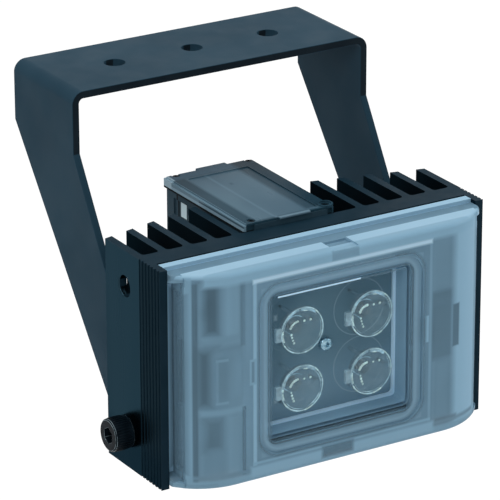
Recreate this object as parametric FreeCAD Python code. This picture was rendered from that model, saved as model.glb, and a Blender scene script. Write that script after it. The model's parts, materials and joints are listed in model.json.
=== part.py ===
import FreeCAD, Part
import math
import os

V = FreeCAD.Vector

# A flood light with four white LEDs for use beside a surveillance camera. A finned
# aluminium extrusion carries the LED board behind a frosted front cover, a driver
# housing stands between its fins, and the whole lamp tilts in a U-shaped steel bracket.
#
# Sizes are in millimetres. The shapes are worked out in a lamp frame: X across, Y from
# the front edge of the side walls to the rear, Z up from the lamp's underside. Each is
# then moved so that the origin is the middle mounting hole on the bracket's top face.

# Clearances that the fits share
thread_gap = 0.05
pivot_gap = 0.1
face_gap = 0.1
slip_gap = 0.4

# Fasteners of the heat sink and its cover
cover_screw_d = 4.0
cover_screw_head_d = 7.0
cover_screw_head_h = 2.4
cover_screw_grip = 8.0
cover_screw_inset = 16.8
small_screw_d = 3.0
small_screw_head_d = 5.5
small_screw_head_h = 1.8
small_screw_length = 8.0

# Bracket sheet and what lies between its leg and the side wall
sheet = 3.0
pivot_washer_t = 2.0
pivot_washer_d = 13.0
leg_inner_gap = 2.2

# Heat sink extrusion
body_height = 88.8
side_wall = 3.4
side_depth = 40.7
plate_setback = 8.0
plate_t = 10.2
fin_t = 3.3
fin_count = 4
fin_head_gap = 0.215
fin_rake = 0.25
fin_to_housing = 2.3
root_radius = 1.5
groove_count = 7
groove_pitch = 2.3
groove_w = 0.9
groove_depth = 0.5
groove_start = 0.45

# Driver housing between the fins
housing_w = 39.3
housing_shift = -4.35
housing_depth = 61.3
housing_lift = 3.0
housing_wall = 2.6
housing_floor = 3.0
housing_corner = 2.5
housing_panel_depth = 0.7
housing_post = 7.2
lid_gasket_t = 0.8
lid_front_t = 3.0
lid_rear_t = 3.4
lid_skin = 0.8
lid_overhang = 0.6
lid_corner = 0.8
lid_front_inset = 0.3
lid_ledge_w = 1.0
lid_ledge_h = 0.7
lid_rib_t = 0.8
lid_rib_inset = 4.6
lid_lip_w = 14.0
lid_lip_reach = 0.8
lid_left_inset = 4.2
lid_right_inset = 1.9
lid_screw_front_inset = 3.0
lid_screw_rear_inset = 1.8
lid_screw_d = 2.0
lid_screw_head_d = 3.2
lid_screw_head_h = 1.2
lid_screw_length = 8.0
lid_screw_sink = 0.2
lid_boss_r = 2.4
lid_ring_d = 6.2
lid_ring_w = 0.7
lid_ring_h = 0.5
lid_panel_depth = 0.4
lid_panel_left = 6.2
lid_panel_right = 5.7
lid_panel_front = 2.4
lid_panel_rear = 7.6
lid_tab_x = -2.2
lid_tab_w = 13.5
lid_tab_reach = 1.6
lid_tab_t = 2.0
housing_screw_spread = 50.0
housing_screw_w = 18.0
wire_hole_d = 4.4
wire_hole_rise = 34.2

# Pivot and bracket
pivot_z = 14.6
pivot_screw_d = 8.0
pivot_head_d = 13.0
pivot_head_h = 8.0
pivot_socket = 6.0
pivot_socket_depth = 4.0
pivot_tip = 1.0
pivot_chamfer = 0.5
leg_end_radius = 7.6
leg_swing_gap = 0.7
leg_heel = 16.4
leg_heel_radius = 8.0
strap_w = 47.2
strap_rise = 121.1
strap_setback = 71.7
knee_drop = 25.1
rear_knee_drop = 24.4
bend_radius = 5.0
mount_hole_d = 8.5
mount_hole_pitch = 35.0

# Front cover moulding
gasket_t = 1.2
gasket_w = 5.0
gasket_inset = 0.5
cover_side_gap = 0.1
cover_flange_t = 3.6
cover_reach = 19.9
cover_step = 1.0
cover_wall = 2.4
cover_corner_r = 28.4
cover_corner_run = 22.0
cover_edge_r = 2.0
band_setback = 9.9
band_step = 0.5
side_recess = 3.4
side_recess_wall = 2.2
side_recess_lip = 5.5
side_recess_slope = 2.0
side_recess_setback = 7.0
lip_groove_w = 0.6
lip_groove_depth = 0.4
ridge_w = 79.0
ridge_border = 6.15
ridge_t = 1.4
ridge_depth = 6.0
ridge_clip_w = 2.5
ridge_clip_h = 10.0
frame_w = 72.6
frame_border = 3.85
frame_depth = 1.2
frame_corner = 9.0
window_w = 63.6
window_border = 4.4
window_depth = 2.5
window_corner = 3.0
pane_t = 1.4
sleeve_side_inset = 0.15
sleeve_end_inset = 1.8
sleeve_wall = 1.6
sleeve_skirt = 2.0
sleeve_lip = 1.2
sleeve_lip_t = 1.0
pillar_w = 18.4
pillar_h = 28.0
pillar_shift = 3.0
pillar_wall = 1.8
pillar_boss_d = 9.0
pillar_front = 5.0
side_rib_w = 11.5
side_rib_h = 18.4
side_rib_t = 1.2
side_rib_depth = 5.0
notch_w = 11.0
notch_shift = 1.6
notch_length = 4.5
notch_depth = 1.5
notch_channel = 0.7

# LED board, lenses and what they stand on
spreader_t = 5.9
spreader_margin = 1.6
spreader_screw_inset = 5.5
pad_t = 0.5
board_t = 1.6
led_pitch_x = 31.2
led_pitch_z = 23.8
led_base = 3.5
led_base_t = 0.8
led_dome_r = 1.3
lens_d = 19.2
lens_pane_gap = 0.2
lens_rim_t = 1.3
lens_rim_w = 1.1
lens_dish = 0.5
lens_back_r = 4.3
lens_bore_r = 2.7
lens_lift = 0.9
lens_bore_depth = 3.2
lens_peg_r = 0.75
lens_tab_w = 2.0
lens_tab_h = 5.5

# Driver electronics
driver_board_t = 1.6
driver_board_rise = 66.0
driver_board_x = -8.0
guide_t = 1.2
guide_depth = 2.0
toroid_d = 18.0
toroid_bore_d = 9.0
toroid_t = 8.0
capacitor_d = 10.0
capacitor_length = 16.0
transformer_w = 20.0
transformer_h = 18.0
transformer_t = 14.0
terminal_w = 20.0
terminal_h = 10.0
terminal_t = 9.0

# Cable gland under the driver housing
gland_x = 3.0
gland_thread_d = 12.0
gland_bore_d = 7.4
gland_cable_d = 6.6
gland_seal_d = 9.2
gland_seal_length = 5.0
gland_hex = 15.0
gland_flange_t = 5.0
gland_washer_t = 1.0
gland_stub = 8.0
gland_nut_t = 4.0
gland_cap_end = 3.6
gland_cap_edge = 1.2

# Places that follow from the sizes above
z_mid = body_height / 2
plate_rear = plate_setback + plate_t
fin_gap = cover_screw_head_d + 2 * fin_head_gap
leg_slot = pivot_washer_t + face_gap + sheet + leg_inner_gap
bay_half = housing_w / 2 + abs(housing_shift) + fin_to_housing
fins_w = fin_count * fin_t + (fin_count - 1) * fin_gap
body_half = bay_half + fins_w + leg_slot + side_wall
wall_inner = body_half - side_wall
leg_outer = wall_inner - face_gap - pivot_washer_t
leg_inner = leg_outer - sheet
pivot_y = plate_rear + leg_end_radius + leg_swing_gap
strap_y = pivot_y + strap_setback
strap_top = pivot_z + strap_rise
cover_screw_x = bay_half + fins_w - fin_t - fin_gap / 2
cover_screw_spread = body_height - 2 * cover_screw_inset
housing_rear = plate_rear + housing_depth
housing_left = housing_shift - housing_w / 2
housing_right = housing_shift + housing_w / 2
housing_top = body_height - lid_gasket_t
housing_inside = housing_lift + housing_floor
lid_left = housing_left - lid_overhang
lid_right = housing_right + lid_overhang
lid_front = plate_rear + lid_front_inset
lid_screw_spots = [
    (housing_left + lid_left_inset, plate_rear + lid_screw_front_inset),
    (housing_right - lid_right_inset, plate_rear + lid_screw_front_inset),
    (housing_left + lid_left_inset, housing_rear - lid_screw_rear_inset),
    (housing_right - lid_right_inset, housing_rear - lid_screw_rear_inset),
]
cover_half = wall_inner - cover_side_gap
flange_rear = plate_setback - gasket_t
flange_front = flange_rear - cover_flange_t
cover_front = flange_rear - cover_reach
cover_low = cover_step
cover_high = body_height - cover_step
cover_back_wall = cover_front + cover_wall
ridge_h = cover_high - cover_low - 2 * (ridge_border - cover_step)
frame_h = ridge_h - 2 * frame_border
window_h = frame_h - 2 * window_border
pane_front = cover_front + window_depth
pane_rear = pane_front + pane_t
sleeve_w = window_w - 2 * sleeve_side_inset
sleeve_h = window_h - 2 * sleeve_end_inset
board_w = sleeve_w - 2 * slip_gap
board_h = sleeve_h - 2 * slip_gap
spreader_front = plate_setback - spreader_t
board_front = spreader_front - pad_t - board_t
led_spots = {
    "upper_left": (-led_pitch_x / 2, z_mid + led_pitch_z / 2),
    "upper_right": (led_pitch_x / 2, z_mid + led_pitch_z / 2),
    "lower_left": (-led_pitch_x / 2, z_mid - led_pitch_z / 2),
    "lower_right": (led_pitch_x / 2, z_mid - led_pitch_z / 2),
}
pillar_x = cover_screw_x - pillar_shift
pillar_rear = plate_setback - slip_gap
past = 1.0


def box(x0, x1, y0, y1, z0, z1):
    return Part.makeBox(x1 - x0, y1 - y0, z1 - z0, V(x0, y0, z0))


def rod(start, end, radius):
    direction = end - start
    return Part.makeCylinder(radius, direction.Length, start, direction)


def prism(points, offset):
    corners = points + points[:1]
    return Part.Face(Part.makePolygon(corners)).extrude(offset)


def joined(shapes):
    whole = shapes[0]
    if len(shapes) > 1:
        whole = whole.fuse(shapes[1:])
    return whole.removeSplitter()


def edges_along(shape, direction):
    found = []
    for edge in shape.Edges:
        if isinstance(edge.Curve, Part.Line):
            if abs(edge.Curve.Direction.dot(direction)) > 0.999:
                found.append(edge)
    return found


def rounded_panel(width, height, corner, y0, y1):
    """A plate across the lamp's front with rounded corners, centred at mid height."""
    blank = box(-width / 2, width / 2, y0, y1, z_mid - height / 2, z_mid + height / 2)
    return blank.makeFillet(corner, edges_along(blank, V(0, 1, 0)))


def rounded_block(x0, x1, y0, y1, z0, z1, corner):
    """A block with rounded upright edges."""
    blank = box(x0, x1, y0, y1, z0, z1)
    return blank.makeFillet(corner, edges_along(blank, V(0, 0, 1)))


def hexagon(across_flats, z0, z1):
    radius = across_flats / math.sqrt(3)
    points = []
    for step in range(6):
        angle = math.radians(60 * step)
        points.append(V(radius * math.cos(angle), radius * math.sin(angle), z0))
    return prism(points, V(0, 0, z1 - z0))


def aimed(shape, point, direction):
    """Turns a shape made along +Z so that it points along direction at point."""
    copy = shape.copy()
    copy.Placement = FreeCAD.Placement(point, FreeCAD.Rotation(V(0, 0, 1), direction))
    return copy


def socket_screw(shank_d, length, head_d, head_h, socket, socket_depth, edge):
    """A cap screw with its head above Z = 0, its shank below and a hexagon socket."""
    head = Part.makeCylinder(head_d / 2, head_h)
    head = head.makeChamfer(edge, [e for e in head.Edges if e.BoundBox.ZMin > head_h / 2])
    shank = rod(V(0, 0, 0), V(0, 0, -length), shank_d / 2)
    tip = [e for e in shank.Edges if e.BoundBox.ZMax < -length / 2]
    shank = shank.makeChamfer(edge, tip)
    screw = joined([head, shank])
    return screw.cut(hexagon(socket, head_h - socket_depth, head_h + past))


def pan_screw(shank_d, length, head_d, head_h):
    """A low rounded head above Z = 0 with a hexagon recess, and a plain shank below."""
    head = Part.makeCylinder(head_d / 2, head_h)
    crown = [e for e in head.Edges if e.BoundBox.ZMin > head_h / 2]
    head = head.makeFillet(head_h / 2, crown)
    shank = rod(V(0, 0, 0), V(0, 0, -length), shank_d / 2)
    recess = hexagon(shank_d * 2 / 3, head_h / 2, head_h + past)
    return joined([head, shank]).cut(recess)


def flat_screw(shank_d, length, head_d):
    """A countersunk screw with its head flush with Z = 0."""
    cone_h = (head_d - shank_d) / 2
    cone = Part.makeCone(shank_d / 2, head_d / 2, cone_h, V(0, 0, -cone_h))
    shank = rod(V(0, 0, -cone_h), V(0, 0, -length), shank_d / 2)
    recess = hexagon(shank_d * 2 / 3, -cone_h / 2, past)
    return joined([cone, shank]).cut(recess)


def fin_end(x):
    """How far back the raked rear ends of walls and fins reach at a place across."""
    return side_depth + fin_rake * (body_half - abs(x))


def upright_blade(side, x_out, x_in, y_start):
    """One wall or fin of the extrusion, with its raked rear end."""
    points = [
        V(side * x_out, y_start, 0),
        V(side * x_out, fin_end(x_out), 0),
        V(side * x_in, fin_end(x_in), 0),
        V(side * x_in, y_start, 0),
    ]
    return prism(points, V(0, 0, body_height))


def spreader_screw_spots():
    reach_x = board_w / 2 - spreader_margin - spreader_screw_inset
    reach_z = board_h / 2 - spreader_margin - spreader_screw_inset
    return [(sx * reach_x, z_mid + sz * reach_z) for sx in (-1, 1) for sz in (-1, 1)]


def cover_screw_spots():
    rise = cover_screw_spread / 2
    return [(sx * cover_screw_x, z_mid + sz * rise) for sx in (-1, 1) for sz in (-1, 1)]


def housing_screw_spots():
    x_mid = housing_shift
    rise = housing_screw_spread / 2
    half = housing_screw_w / 2
    return [(x_mid + sx * half, z_mid + sz * rise) for sx in (-1, 1) for sz in (-1, 1)]


def heat_sink():
    """The extrusion: front plate, two side walls, two banks of fins, then its drilling."""
    plate = box(-body_half, body_half, plate_setback, plate_rear, 0, body_height)
    pieces = [plate]
    for side in (-1, 1):
        pieces.append(upright_blade(side, body_half, wall_inner, 0))
        for index in range(fin_count):
            x_in = bay_half + index * (fin_t + fin_gap)
            pieces.append(upright_blade(side, x_in + fin_t, x_in, plate_rear))
    section = joined(pieces)
    roots = []
    for edge in edges_along(section, V(0, 0, 1)):
        middle = edge.CenterOfMass
        at_root = abs(middle.y - plate_rear) < 0.01
        if at_root and abs(middle.x) < body_half - side_wall / 2:
            roots.append(edge)
    section = section.makeFillet(min(root_radius, fin_gap / 3), roots)
    cuts = []
    for side in (-1, 1):
        face_x = side * body_half
        for index in range(groove_count):
            y0 = groove_start + index * groove_pitch
            x_low = min(face_x - side * groove_depth, face_x + side * past)
            x_high = max(face_x - side * groove_depth, face_x + side * past)
            cuts.append(box(x_low, x_high, y0, y0 + groove_w, -past, body_height + past))
        for z in (pivot_z, body_height - pivot_z):
            inner = V(side * (wall_inner - past), pivot_y, z)
            outer = V(side * (body_half + past), pivot_y, z)
            bore_r = pivot_screw_d / 2 + pivot_gap
            cuts.append(rod(inner, outer, bore_r))
            mouth = V(face_x - side * pivot_chamfer, pivot_y, z)
            wide = bore_r + pivot_chamfer
            cuts.append(Part.makeCone(bore_r, wide, pivot_chamfer, mouth, V(side, 0, 0)))
    for x, z in cover_screw_spots():
        bore_r = cover_screw_d / 2 + slip_gap / 2
        cuts.append(rod(V(x, plate_setback - past, z), V(x, plate_rear + past, z), bore_r))
        head_r = cover_screw_head_d / 2 + fin_head_gap / 2
        seat_end = V(x, plate_rear + cover_screw_head_h, z)
        cuts.append(rod(V(x, plate_rear, z), seat_end, head_r))
    tapped_r = small_screw_d / 2 + thread_gap
    for x, z in spreader_screw_spots():
        depth = small_screw_length - spreader_t + past
        cuts.append(rod(V(x, plate_setback - past, z), V(x, plate_setback + depth, z), tapped_r))
    for x, z in housing_screw_spots():
        depth = small_screw_length - housing_wall + past
        cuts.append(rod(V(x, plate_rear + past, z), V(x, plate_rear - depth, z), tapped_r))
    cuts.append(wire_hole(plate_setback, plate_rear))
    return section.cut(cuts)


def wire_hole(y0, y1):
    """The way for the LED leads from the board's chamber into the driver housing."""
    z = z_mid + wire_hole_rise
    start = V(housing_shift, y0 - past, z)
    return rod(start, V(housing_shift, y1 + past, z), wire_hole_d / 2)


def cover_plan(radius, front, z0, z1):
    """The cover's outline seen from above, flat in front and turning back at the corners."""
    turn_x = cover_half - cover_corner_run
    turn_y = cover_front + cover_corner_r
    diagonal = radius * math.sqrt(0.5)
    edges = []
    edges.append(Part.LineSegment(V(-turn_x, front, z0), V(turn_x, front, z0)).toShape())
    right = Part.Arc(
        V(turn_x, front, z0),
        V(turn_x + diagonal, turn_y - diagonal, z0),
        V(turn_x + radius, turn_y, z0),
    )
    left = Part.Arc(
        V(-turn_x - radius, turn_y, z0),
        V(-turn_x - diagonal, turn_y - diagonal, z0),
        V(-turn_x, front, z0),
    )
    back_r = Part.LineSegment(V(turn_x + radius, turn_y, z0), V(-turn_x - radius, turn_y, z0))
    edges.append(right.toShape())
    edges.append(back_r.toShape())
    edges.append(left.toShape())
    wire = Part.Wire(Part.__sortEdges__(edges))
    return Part.Face(wire).extrude(V(0, 0, z1 - z0))


def cover_shell():
    """The outer body of the cover with its rounded top and bottom edges, hollowed."""
    blank = cover_plan(cover_corner_r, cover_front, cover_low, cover_high)
    lips = []
    for edge in blank.Edges:
        level = abs(edge.BoundBox.ZMax - edge.BoundBox.ZMin) < 0.01
        if level and edge.BoundBox.YMin < cover_front + cover_corner_r / 2:
            lips.append(edge)
    blank = blank.makeFillet(cover_edge_r, lips)
    limits = box(
        -cover_half, cover_half, cover_front - past, flange_rear, cover_low, cover_high
    )
    blank = blank.common(limits)
    flange = box(-cover_half, cover_half, flange_front, flange_rear, 0, body_height)
    inner_half = cover_half - side_recess - side_recess_wall
    hollow = cover_plan(
        cover_corner_r - cover_wall,
        cover_back_wall,
        cover_low + cover_wall,
        cover_high - cover_wall,
    )
    room = box(-inner_half, inner_half, cover_front, flange_rear + past, 0, body_height)
    shell = joined([blank, flange]).cut(hollow.common(room))
    return shell, joined([blank, flange])


def cover_pillar(side, z):
    """A moulded screw post, open behind, with a round boss for the cover screw."""
    x0 = side * pillar_x - pillar_w / 2
    x1 = side * pillar_x + pillar_w / 2
    z0 = z - pillar_h / 2
    z1 = z + pillar_h / 2
    post = box(x0, x1, cover_front, pillar_rear, z0, z1)
    core = box(
        x0 + pillar_wall,
        x1 - pillar_wall,
        cover_front + pillar_front + cover_wall,
        pillar_rear + past,
        z0 + pillar_wall,
        z1 - pillar_wall,
    )
    start = V(side * cover_screw_x, cover_back_wall, z)
    end = V(side * cover_screw_x, pillar_rear, z)
    return joined([post.cut(core), rod(start, end, pillar_boss_d / 2)])


def window_frame():
    """The pad behind the window, its rectangular ridge and the sleeve to the board."""
    pad = rounded_panel(ridge_w, ridge_h, ridge_t, cover_back_wall - past, pane_rear)
    ridge_rear = cover_back_wall + ridge_depth
    ridge = rounded_panel(ridge_w, ridge_h, ridge_t, cover_back_wall - past, ridge_rear)
    ridge_hole = rounded_panel(
        ridge_w - 2 * ridge_t, ridge_h - 2 * ridge_t, ridge_t, cover_front, ridge_rear + past
    )
    ridge = ridge.cut(ridge_hole)
    sleeve_rear = board_front + sleeve_skirt
    sleeve = rounded_panel(
        sleeve_w + 2 * sleeve_wall,
        sleeve_h + 2 * sleeve_wall,
        window_corner,
        cover_back_wall - past,
        sleeve_rear,
    )
    sleeve_hole = rounded_panel(
        sleeve_w, sleeve_h, sleeve_wall, pane_rear, sleeve_rear + past
    )
    lip_rear = board_front - face_gap
    lip = rounded_panel(
        sleeve_w + sleeve_wall, sleeve_h + sleeve_wall, sleeve_wall, lip_rear - sleeve_lip_t, lip_rear
    )
    lip_hole = rounded_panel(
        sleeve_w - 2 * sleeve_lip,
        sleeve_h - 2 * sleeve_lip,
        sleeve_wall,
        lip_rear - sleeve_lip_t - past,
        lip_rear + past,
    )
    pieces = [pad, ridge, sleeve.cut(sleeve_hole), lip.cut(lip_hole)]
    for side in (-1, 1):
        x = side * (ridge_w - ridge_t) / 2
        pieces.append(box(
            x - ridge_clip_w / 2,
            x + ridge_clip_w / 2,
            cover_back_wall - past,
            ridge_rear + past,
            z_mid - ridge_clip_h / 2,
            z_mid + ridge_clip_h / 2,
        ))
    return pieces


def side_rib(side):
    """The low rectangular rib between the two screw posts of one side."""
    x_mid = side * (pillar_x - pillar_w / 2 + side_rib_w / 2)
    rear = cover_back_wall + side_rib_depth
    half_w = side_rib_w / 2
    half_h = side_rib_h / 2
    t = side_rib_t
    rib = box(
        x_mid - half_w, x_mid + half_w, cover_back_wall - past, rear, z_mid - half_h, z_mid + half_h
    )
    return rib.cut(box(
        x_mid - half_w + t,
        x_mid + half_w - t,
        cover_back_wall - past,
        rear + past,
        z_mid - half_h + t,
        z_mid + half_h - t,
    ))


def band_cuts():
    """The lower band between the flange and the raised front part of the cover."""
    band_y = cover_front + band_setback
    recess_y = cover_front + side_recess_setback
    x_in = cover_half - side_recess
    x_out = cover_half + past
    cuts = []
    for z0, z1 in (
        (cover_low - past, cover_low + band_step),
        (cover_high - band_step, cover_high + past),
    ):
        cuts.append(box(-x_out, x_out, band_y, flange_front, z0, z1))
        cuts.append(box(-x_out, -x_in, recess_y, flange_front, z0, z1))
        cuts.append(box(x_in, x_out, recess_y, flange_front, z0, z1))
    return cuts


def side_recess_cuts():
    """The recess along each side of the cover and the grooves that run on past its ends."""
    recess_y = cover_front + side_recess_setback
    x_in = cover_half - side_recess
    low = side_recess_lip
    high = body_height - side_recess_lip
    cuts = []
    for side in (-1, 1):
        points = [
            V(side * x_in, recess_y, low - side_recess_slope),
            V(side * x_in, flange_front, low),
            V(side * x_in, flange_front, high),
            V(side * x_in, recess_y, high + side_recess_slope),
        ]
        cuts.append(prism(points, V(side * (side_recess + past), 0, 0)))
        x0 = side * x_in - lip_groove_w / 2
        x1 = side * x_in + lip_groove_w / 2
        y1 = recess_y + lip_groove_depth
        cuts.append(box(x0, x1, cover_front, y1, -past, low))
        cuts.append(box(x0, x1, cover_front, y1, high, body_height + past))
    return cuts


def notch_cuts():
    """The clip pockets in the cover's top and underside, with a channel over the top edge."""
    band_y = cover_front + band_setback
    x0 = notch_shift - notch_w / 2
    x1 = notch_shift + notch_w / 2
    y0 = band_y - notch_length
    top = cover_high + past
    under = cover_low - past
    return [
        box(x0, x1, y0, band_y, cover_high - notch_depth, top),
        box(x0, x1, y0, band_y, under, cover_low + notch_depth),
        box(x0, x1, cover_front - past, band_y, cover_high - notch_channel, top),
    ]


def cover_cuts():
    """Everything that is cut from the moulded cover's outside."""
    cuts = []
    front = cover_front - past
    cuts.append(rounded_panel(frame_w, frame_h, frame_corner, front, cover_front + frame_depth))
    cuts.append(rounded_panel(window_w, window_h, window_corner, front, pane_front))
    cuts += band_cuts()
    cuts += side_recess_cuts()
    cuts += notch_cuts()
    for x, z in cover_screw_spots():
        depth = plate_setback - cover_screw_grip - past
        start = V(x, pillar_rear + past, z)
        cuts.append(rod(start, V(x, depth, z), cover_screw_d / 2 + thread_gap))
    return cuts


def front_cover():
    """The frosted cover as one moulding."""
    shell, envelope = cover_shell()
    pieces = [shell]
    border = gasket_inset + gasket_w + slip_gap
    inside_gasket = box(
        border - cover_half,
        cover_half - border,
        flange_rear,
        pillar_rear,
        border,
        body_height - border,
    )
    limits = joined([envelope, inside_gasket])
    for side in (-1, 1):
        for rise in (-1, 1):
            post = cover_pillar(side, z_mid + rise * cover_screw_spread / 2)
            pieces.append(post.common(limits))
        pieces.append(side_rib(side))
    pieces += window_frame()
    return joined(pieces).cut(cover_cuts())


def cover_gasket():
    half = cover_half - gasket_inset
    height = body_height - 2 * gasket_inset
    outer = rounded_panel(2 * half, height, gasket_w / 2, flange_rear, plate_setback)
    inner = rounded_panel(
        2 * (half - gasket_w),
        height - 2 * gasket_w,
        gasket_w / 2,
        flange_rear - past,
        plate_setback + past,
    )
    return outer.cut(inner)


def cover_screws():
    length = plate_t + cover_screw_grip
    screw = pan_screw(cover_screw_d, length, cover_screw_head_d, cover_screw_head_h)
    spots = cover_screw_spots()
    return [aimed(screw, V(x, plate_rear, z), V(0, 1, 0)) for x, z in spots]


def board_panel(y0, y1, inset):
    """A rectangular layer of the LED stack, with the centre screw's hole."""
    panel = rounded_panel(board_w - 2 * inset, board_h - 2 * inset, sleeve_wall, y0, y1)
    return panel.cut(rod(V(0, y0 - past, z_mid), V(0, y1 + past, z_mid), board_hole_r()))


def board_hole_r():
    return small_screw_d / 2 + thread_gap


def heat_spreader():
    """The aluminium block that lifts the LED board towards the window."""
    block = board_panel(spreader_front, plate_setback, spreader_margin)
    screw_r = small_screw_d / 2 + thread_gap
    sink_h = (small_screw_head_d - small_screw_d) / 2
    cuts = []
    for x, z in spreader_screw_spots():
        start = V(x, spreader_front - past, z)
        cuts.append(rod(start, V(x, plate_setback + past, z), screw_r))
        wide_r = small_screw_head_d / 2 + thread_gap
        mouth = V(x, spreader_front, z)
        cuts.append(Part.makeCone(wide_r, screw_r, sink_h, mouth, V(0, 1, 0)))
    return block.cut(cuts)


def spreader_screws():
    screw = flat_screw(small_screw_d, small_screw_length, small_screw_head_d)
    spots = spreader_screw_spots()
    return [aimed(screw, V(x, spreader_front, z), V(0, -1, 0)) for x, z in spots]


def board_screw():
    length = board_t + pad_t + spreader_t / 2
    screw = pan_screw(small_screw_d, length, small_screw_head_d, small_screw_head_h)
    return aimed(screw, V(0, board_front, z_mid), V(0, -1, 0))


def led(x, z):
    """One emitter: a square ceramic base with a clear dome, facing the front."""
    half = led_base / 2
    base = box(-half, half, -half, half, 0, led_base_t)
    dome = Part.makeSphere(led_dome_r, V(0, 0, led_base_t))
    dome = dome.common(box(-half, half, -half, half, led_base_t, led_base))
    return aimed(joined([base, dome]), V(x, board_front, z), V(0, -1, 0))


def lens(x, z):
    """A collimator lens: a cone round the emitter, a thin rim, three pegs and a gate tab."""
    height = board_front - pane_rear - lens_pane_gap
    rim_r = lens_d / 2
    rim_low = height - lens_rim_t
    cone_r = rim_r - lens_rim_w / 2
    dish_r = rim_r - lens_rim_w
    dish_z = height - lens_dish
    roof = lens_lift + lens_bore_depth
    bulge = lens_rim_w / 2
    waist = V((lens_back_r + cone_r) / 2 + bulge, 0, (lens_lift + rim_low) / 2 - bulge)
    flank = Part.Arc(V(lens_back_r, 0, lens_lift), waist, V(cone_r, 0, rim_low)).toShape()
    crown = Part.Arc(
        V(lens_bore_r, 0, roof), V(lens_bore_r / 2, 0, roof - lens_dish), V(0, 0, roof - lens_dish)
    )
    chain = [
        V(cone_r, 0, rim_low),
        V(rim_r, 0, rim_low),
        V(rim_r, 0, height),
        V(dish_r, 0, height),
        V(dish_r, 0, dish_z),
        V(0, 0, dish_z),
        V(0, 0, roof - lens_dish),
    ]
    edges = [flank]
    edges += [Part.makeLine(a, b) for a, b in zip(chain, chain[1:])]
    edges.append(crown.toShape())
    edges.append(Part.makeLine(V(lens_bore_r, 0, roof), V(lens_bore_r, 0, lens_lift)))
    edges.append(Part.makeLine(V(lens_bore_r, 0, lens_lift), V(lens_back_r, 0, lens_lift)))
    wire = Part.Wire(Part.__sortEdges__(edges))
    body = Part.Face(wire).revolve(V(0, 0, 0), V(0, 0, 1), 360)
    peg_r = rim_r - lens_peg_r
    pieces = [body]
    for angle in (0, 120, 240):
        turn = math.radians(angle)
        foot = V(peg_r * math.cos(turn), peg_r * math.sin(turn), 0)
        pieces.append(rod(foot, foot + V(0, 0, rim_low), lens_peg_r))
    tab_in = rim_r - lens_rim_w
    tab_out = rim_r + lens_tab_w
    half = lens_tab_h / 2
    pieces.append(box(-tab_out, -tab_in, -half, half, rim_low, height))
    return aimed(joined(pieces), V(x, board_front, z), V(0, -1, 0))


def lid_screw_columns():
    """The posts in the housing's corners that the lid screws are threaded into."""
    floor = housing_inside
    columns = []
    for x, y in lid_screw_spots:
        columns.append(rod(V(x, y, floor), V(x, y, housing_top), lid_boss_r))
    return columns


def board_guides():
    """Two pairs of ribs on the housing's end walls that hold the driver board on edge."""
    front = plate_rear + housing_wall
    rear = housing_rear - housing_wall
    top = housing_inside + driver_board_rise
    guides = []
    for side in (-1, 1):
        near = driver_board_x + side * (driver_board_t / 2 + face_gap)
        x0 = min(near, near + side * guide_t)
        x1 = max(near, near + side * guide_t)
        guides.append(box(x0, x1, front - face_gap, front + guide_depth, housing_inside, top))
        guides.append(box(x0, x1, rear - guide_depth, rear + face_gap, housing_inside, top))
    return guides


def lid_rib():
    """The rib on the housing's front wall that rises just under the lid's front edge."""
    top = lid_top(lid_front) - lid_skin - face_gap
    return box(
        lid_left + lid_rib_inset,
        housing_right - housing_corner,
        plate_rear,
        plate_rear + lid_rib_t,
        housing_top - housing_wall,
        top,
    )


def driver_housing():
    """The cast driver housing, open at the top, with posts at its rear corners."""
    blank = rounded_block(
        housing_left,
        housing_right,
        plate_rear,
        housing_rear,
        housing_lift,
        housing_top,
        housing_corner,
    )
    room = box(
        housing_left + housing_wall,
        housing_right - housing_wall,
        plate_rear + housing_wall,
        housing_rear - housing_wall,
        housing_inside,
        housing_top + past,
    )
    walls = blank.cut(room)
    panels = []
    panel_y0 = plate_rear + housing_post
    panel_y1 = housing_rear - housing_post
    panel_z0 = housing_lift + housing_post
    panel_z1 = housing_top - housing_wall
    cut_in = housing_panel_depth
    panels.append(box(
        housing_left - past, housing_left + cut_in, panel_y0, panel_y1, panel_z0, panel_z1
    ))
    panels.append(box(
        housing_right - cut_in, housing_right + past, panel_y0, panel_y1, panel_z0, panel_z1
    ))
    panels.append(box(
        housing_left + housing_post,
        housing_right - housing_post,
        housing_rear - cut_in,
        housing_rear + past,
        panel_z0,
        panel_z1,
    ))
    behind_plate = box(
        housing_left - housing_wall,
        housing_right + housing_wall,
        plate_rear,
        housing_rear + housing_wall,
        housing_lift,
        housing_top,
    )
    columns = [column.common(behind_plate) for column in lid_screw_columns()]
    body = joined([walls.cut(panels), lid_rib()] + columns + board_guides())
    cuts = []
    for x, y in lid_screw_spots:
        depth = housing_top - lid_screw_length
        start = V(x, y, housing_top + past)
        cuts.append(rod(start, V(x, y, depth), lid_screw_bore_r()))
    for x, z in housing_screw_spots():
        start = V(x, plate_rear - past, z)
        end = V(x, plate_rear + housing_wall + past, z)
        cuts.append(rod(start, end, small_screw_d / 2 + thread_gap))
    cuts.append(wire_hole(plate_rear, plate_rear + housing_wall))
    gland_y = (plate_rear + housing_rear) / 2
    gland_r = gland_thread_d / 2 + thread_gap
    floor_hole = rod(
        V(gland_x, gland_y, housing_lift - past), V(gland_x, gland_y, housing_inside + past), gland_r
    )
    cuts.append(floor_hole)
    return body.cut(cuts)


def housing_screws():
    screw = pan_screw(
        small_screw_d, small_screw_length, small_screw_head_d, small_screw_head_h
    )
    spots = housing_screw_spots()
    seat = plate_rear + housing_wall
    return [aimed(screw, V(x, seat, z), V(0, 1, 0)) for x, z in spots]


def lid_top(y):
    """The height of the lid's sloping top face at a place along the housing."""
    share = (y - plate_rear) / housing_depth
    return body_height + lid_front_t + (lid_rear_t - lid_front_t) * share


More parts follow.
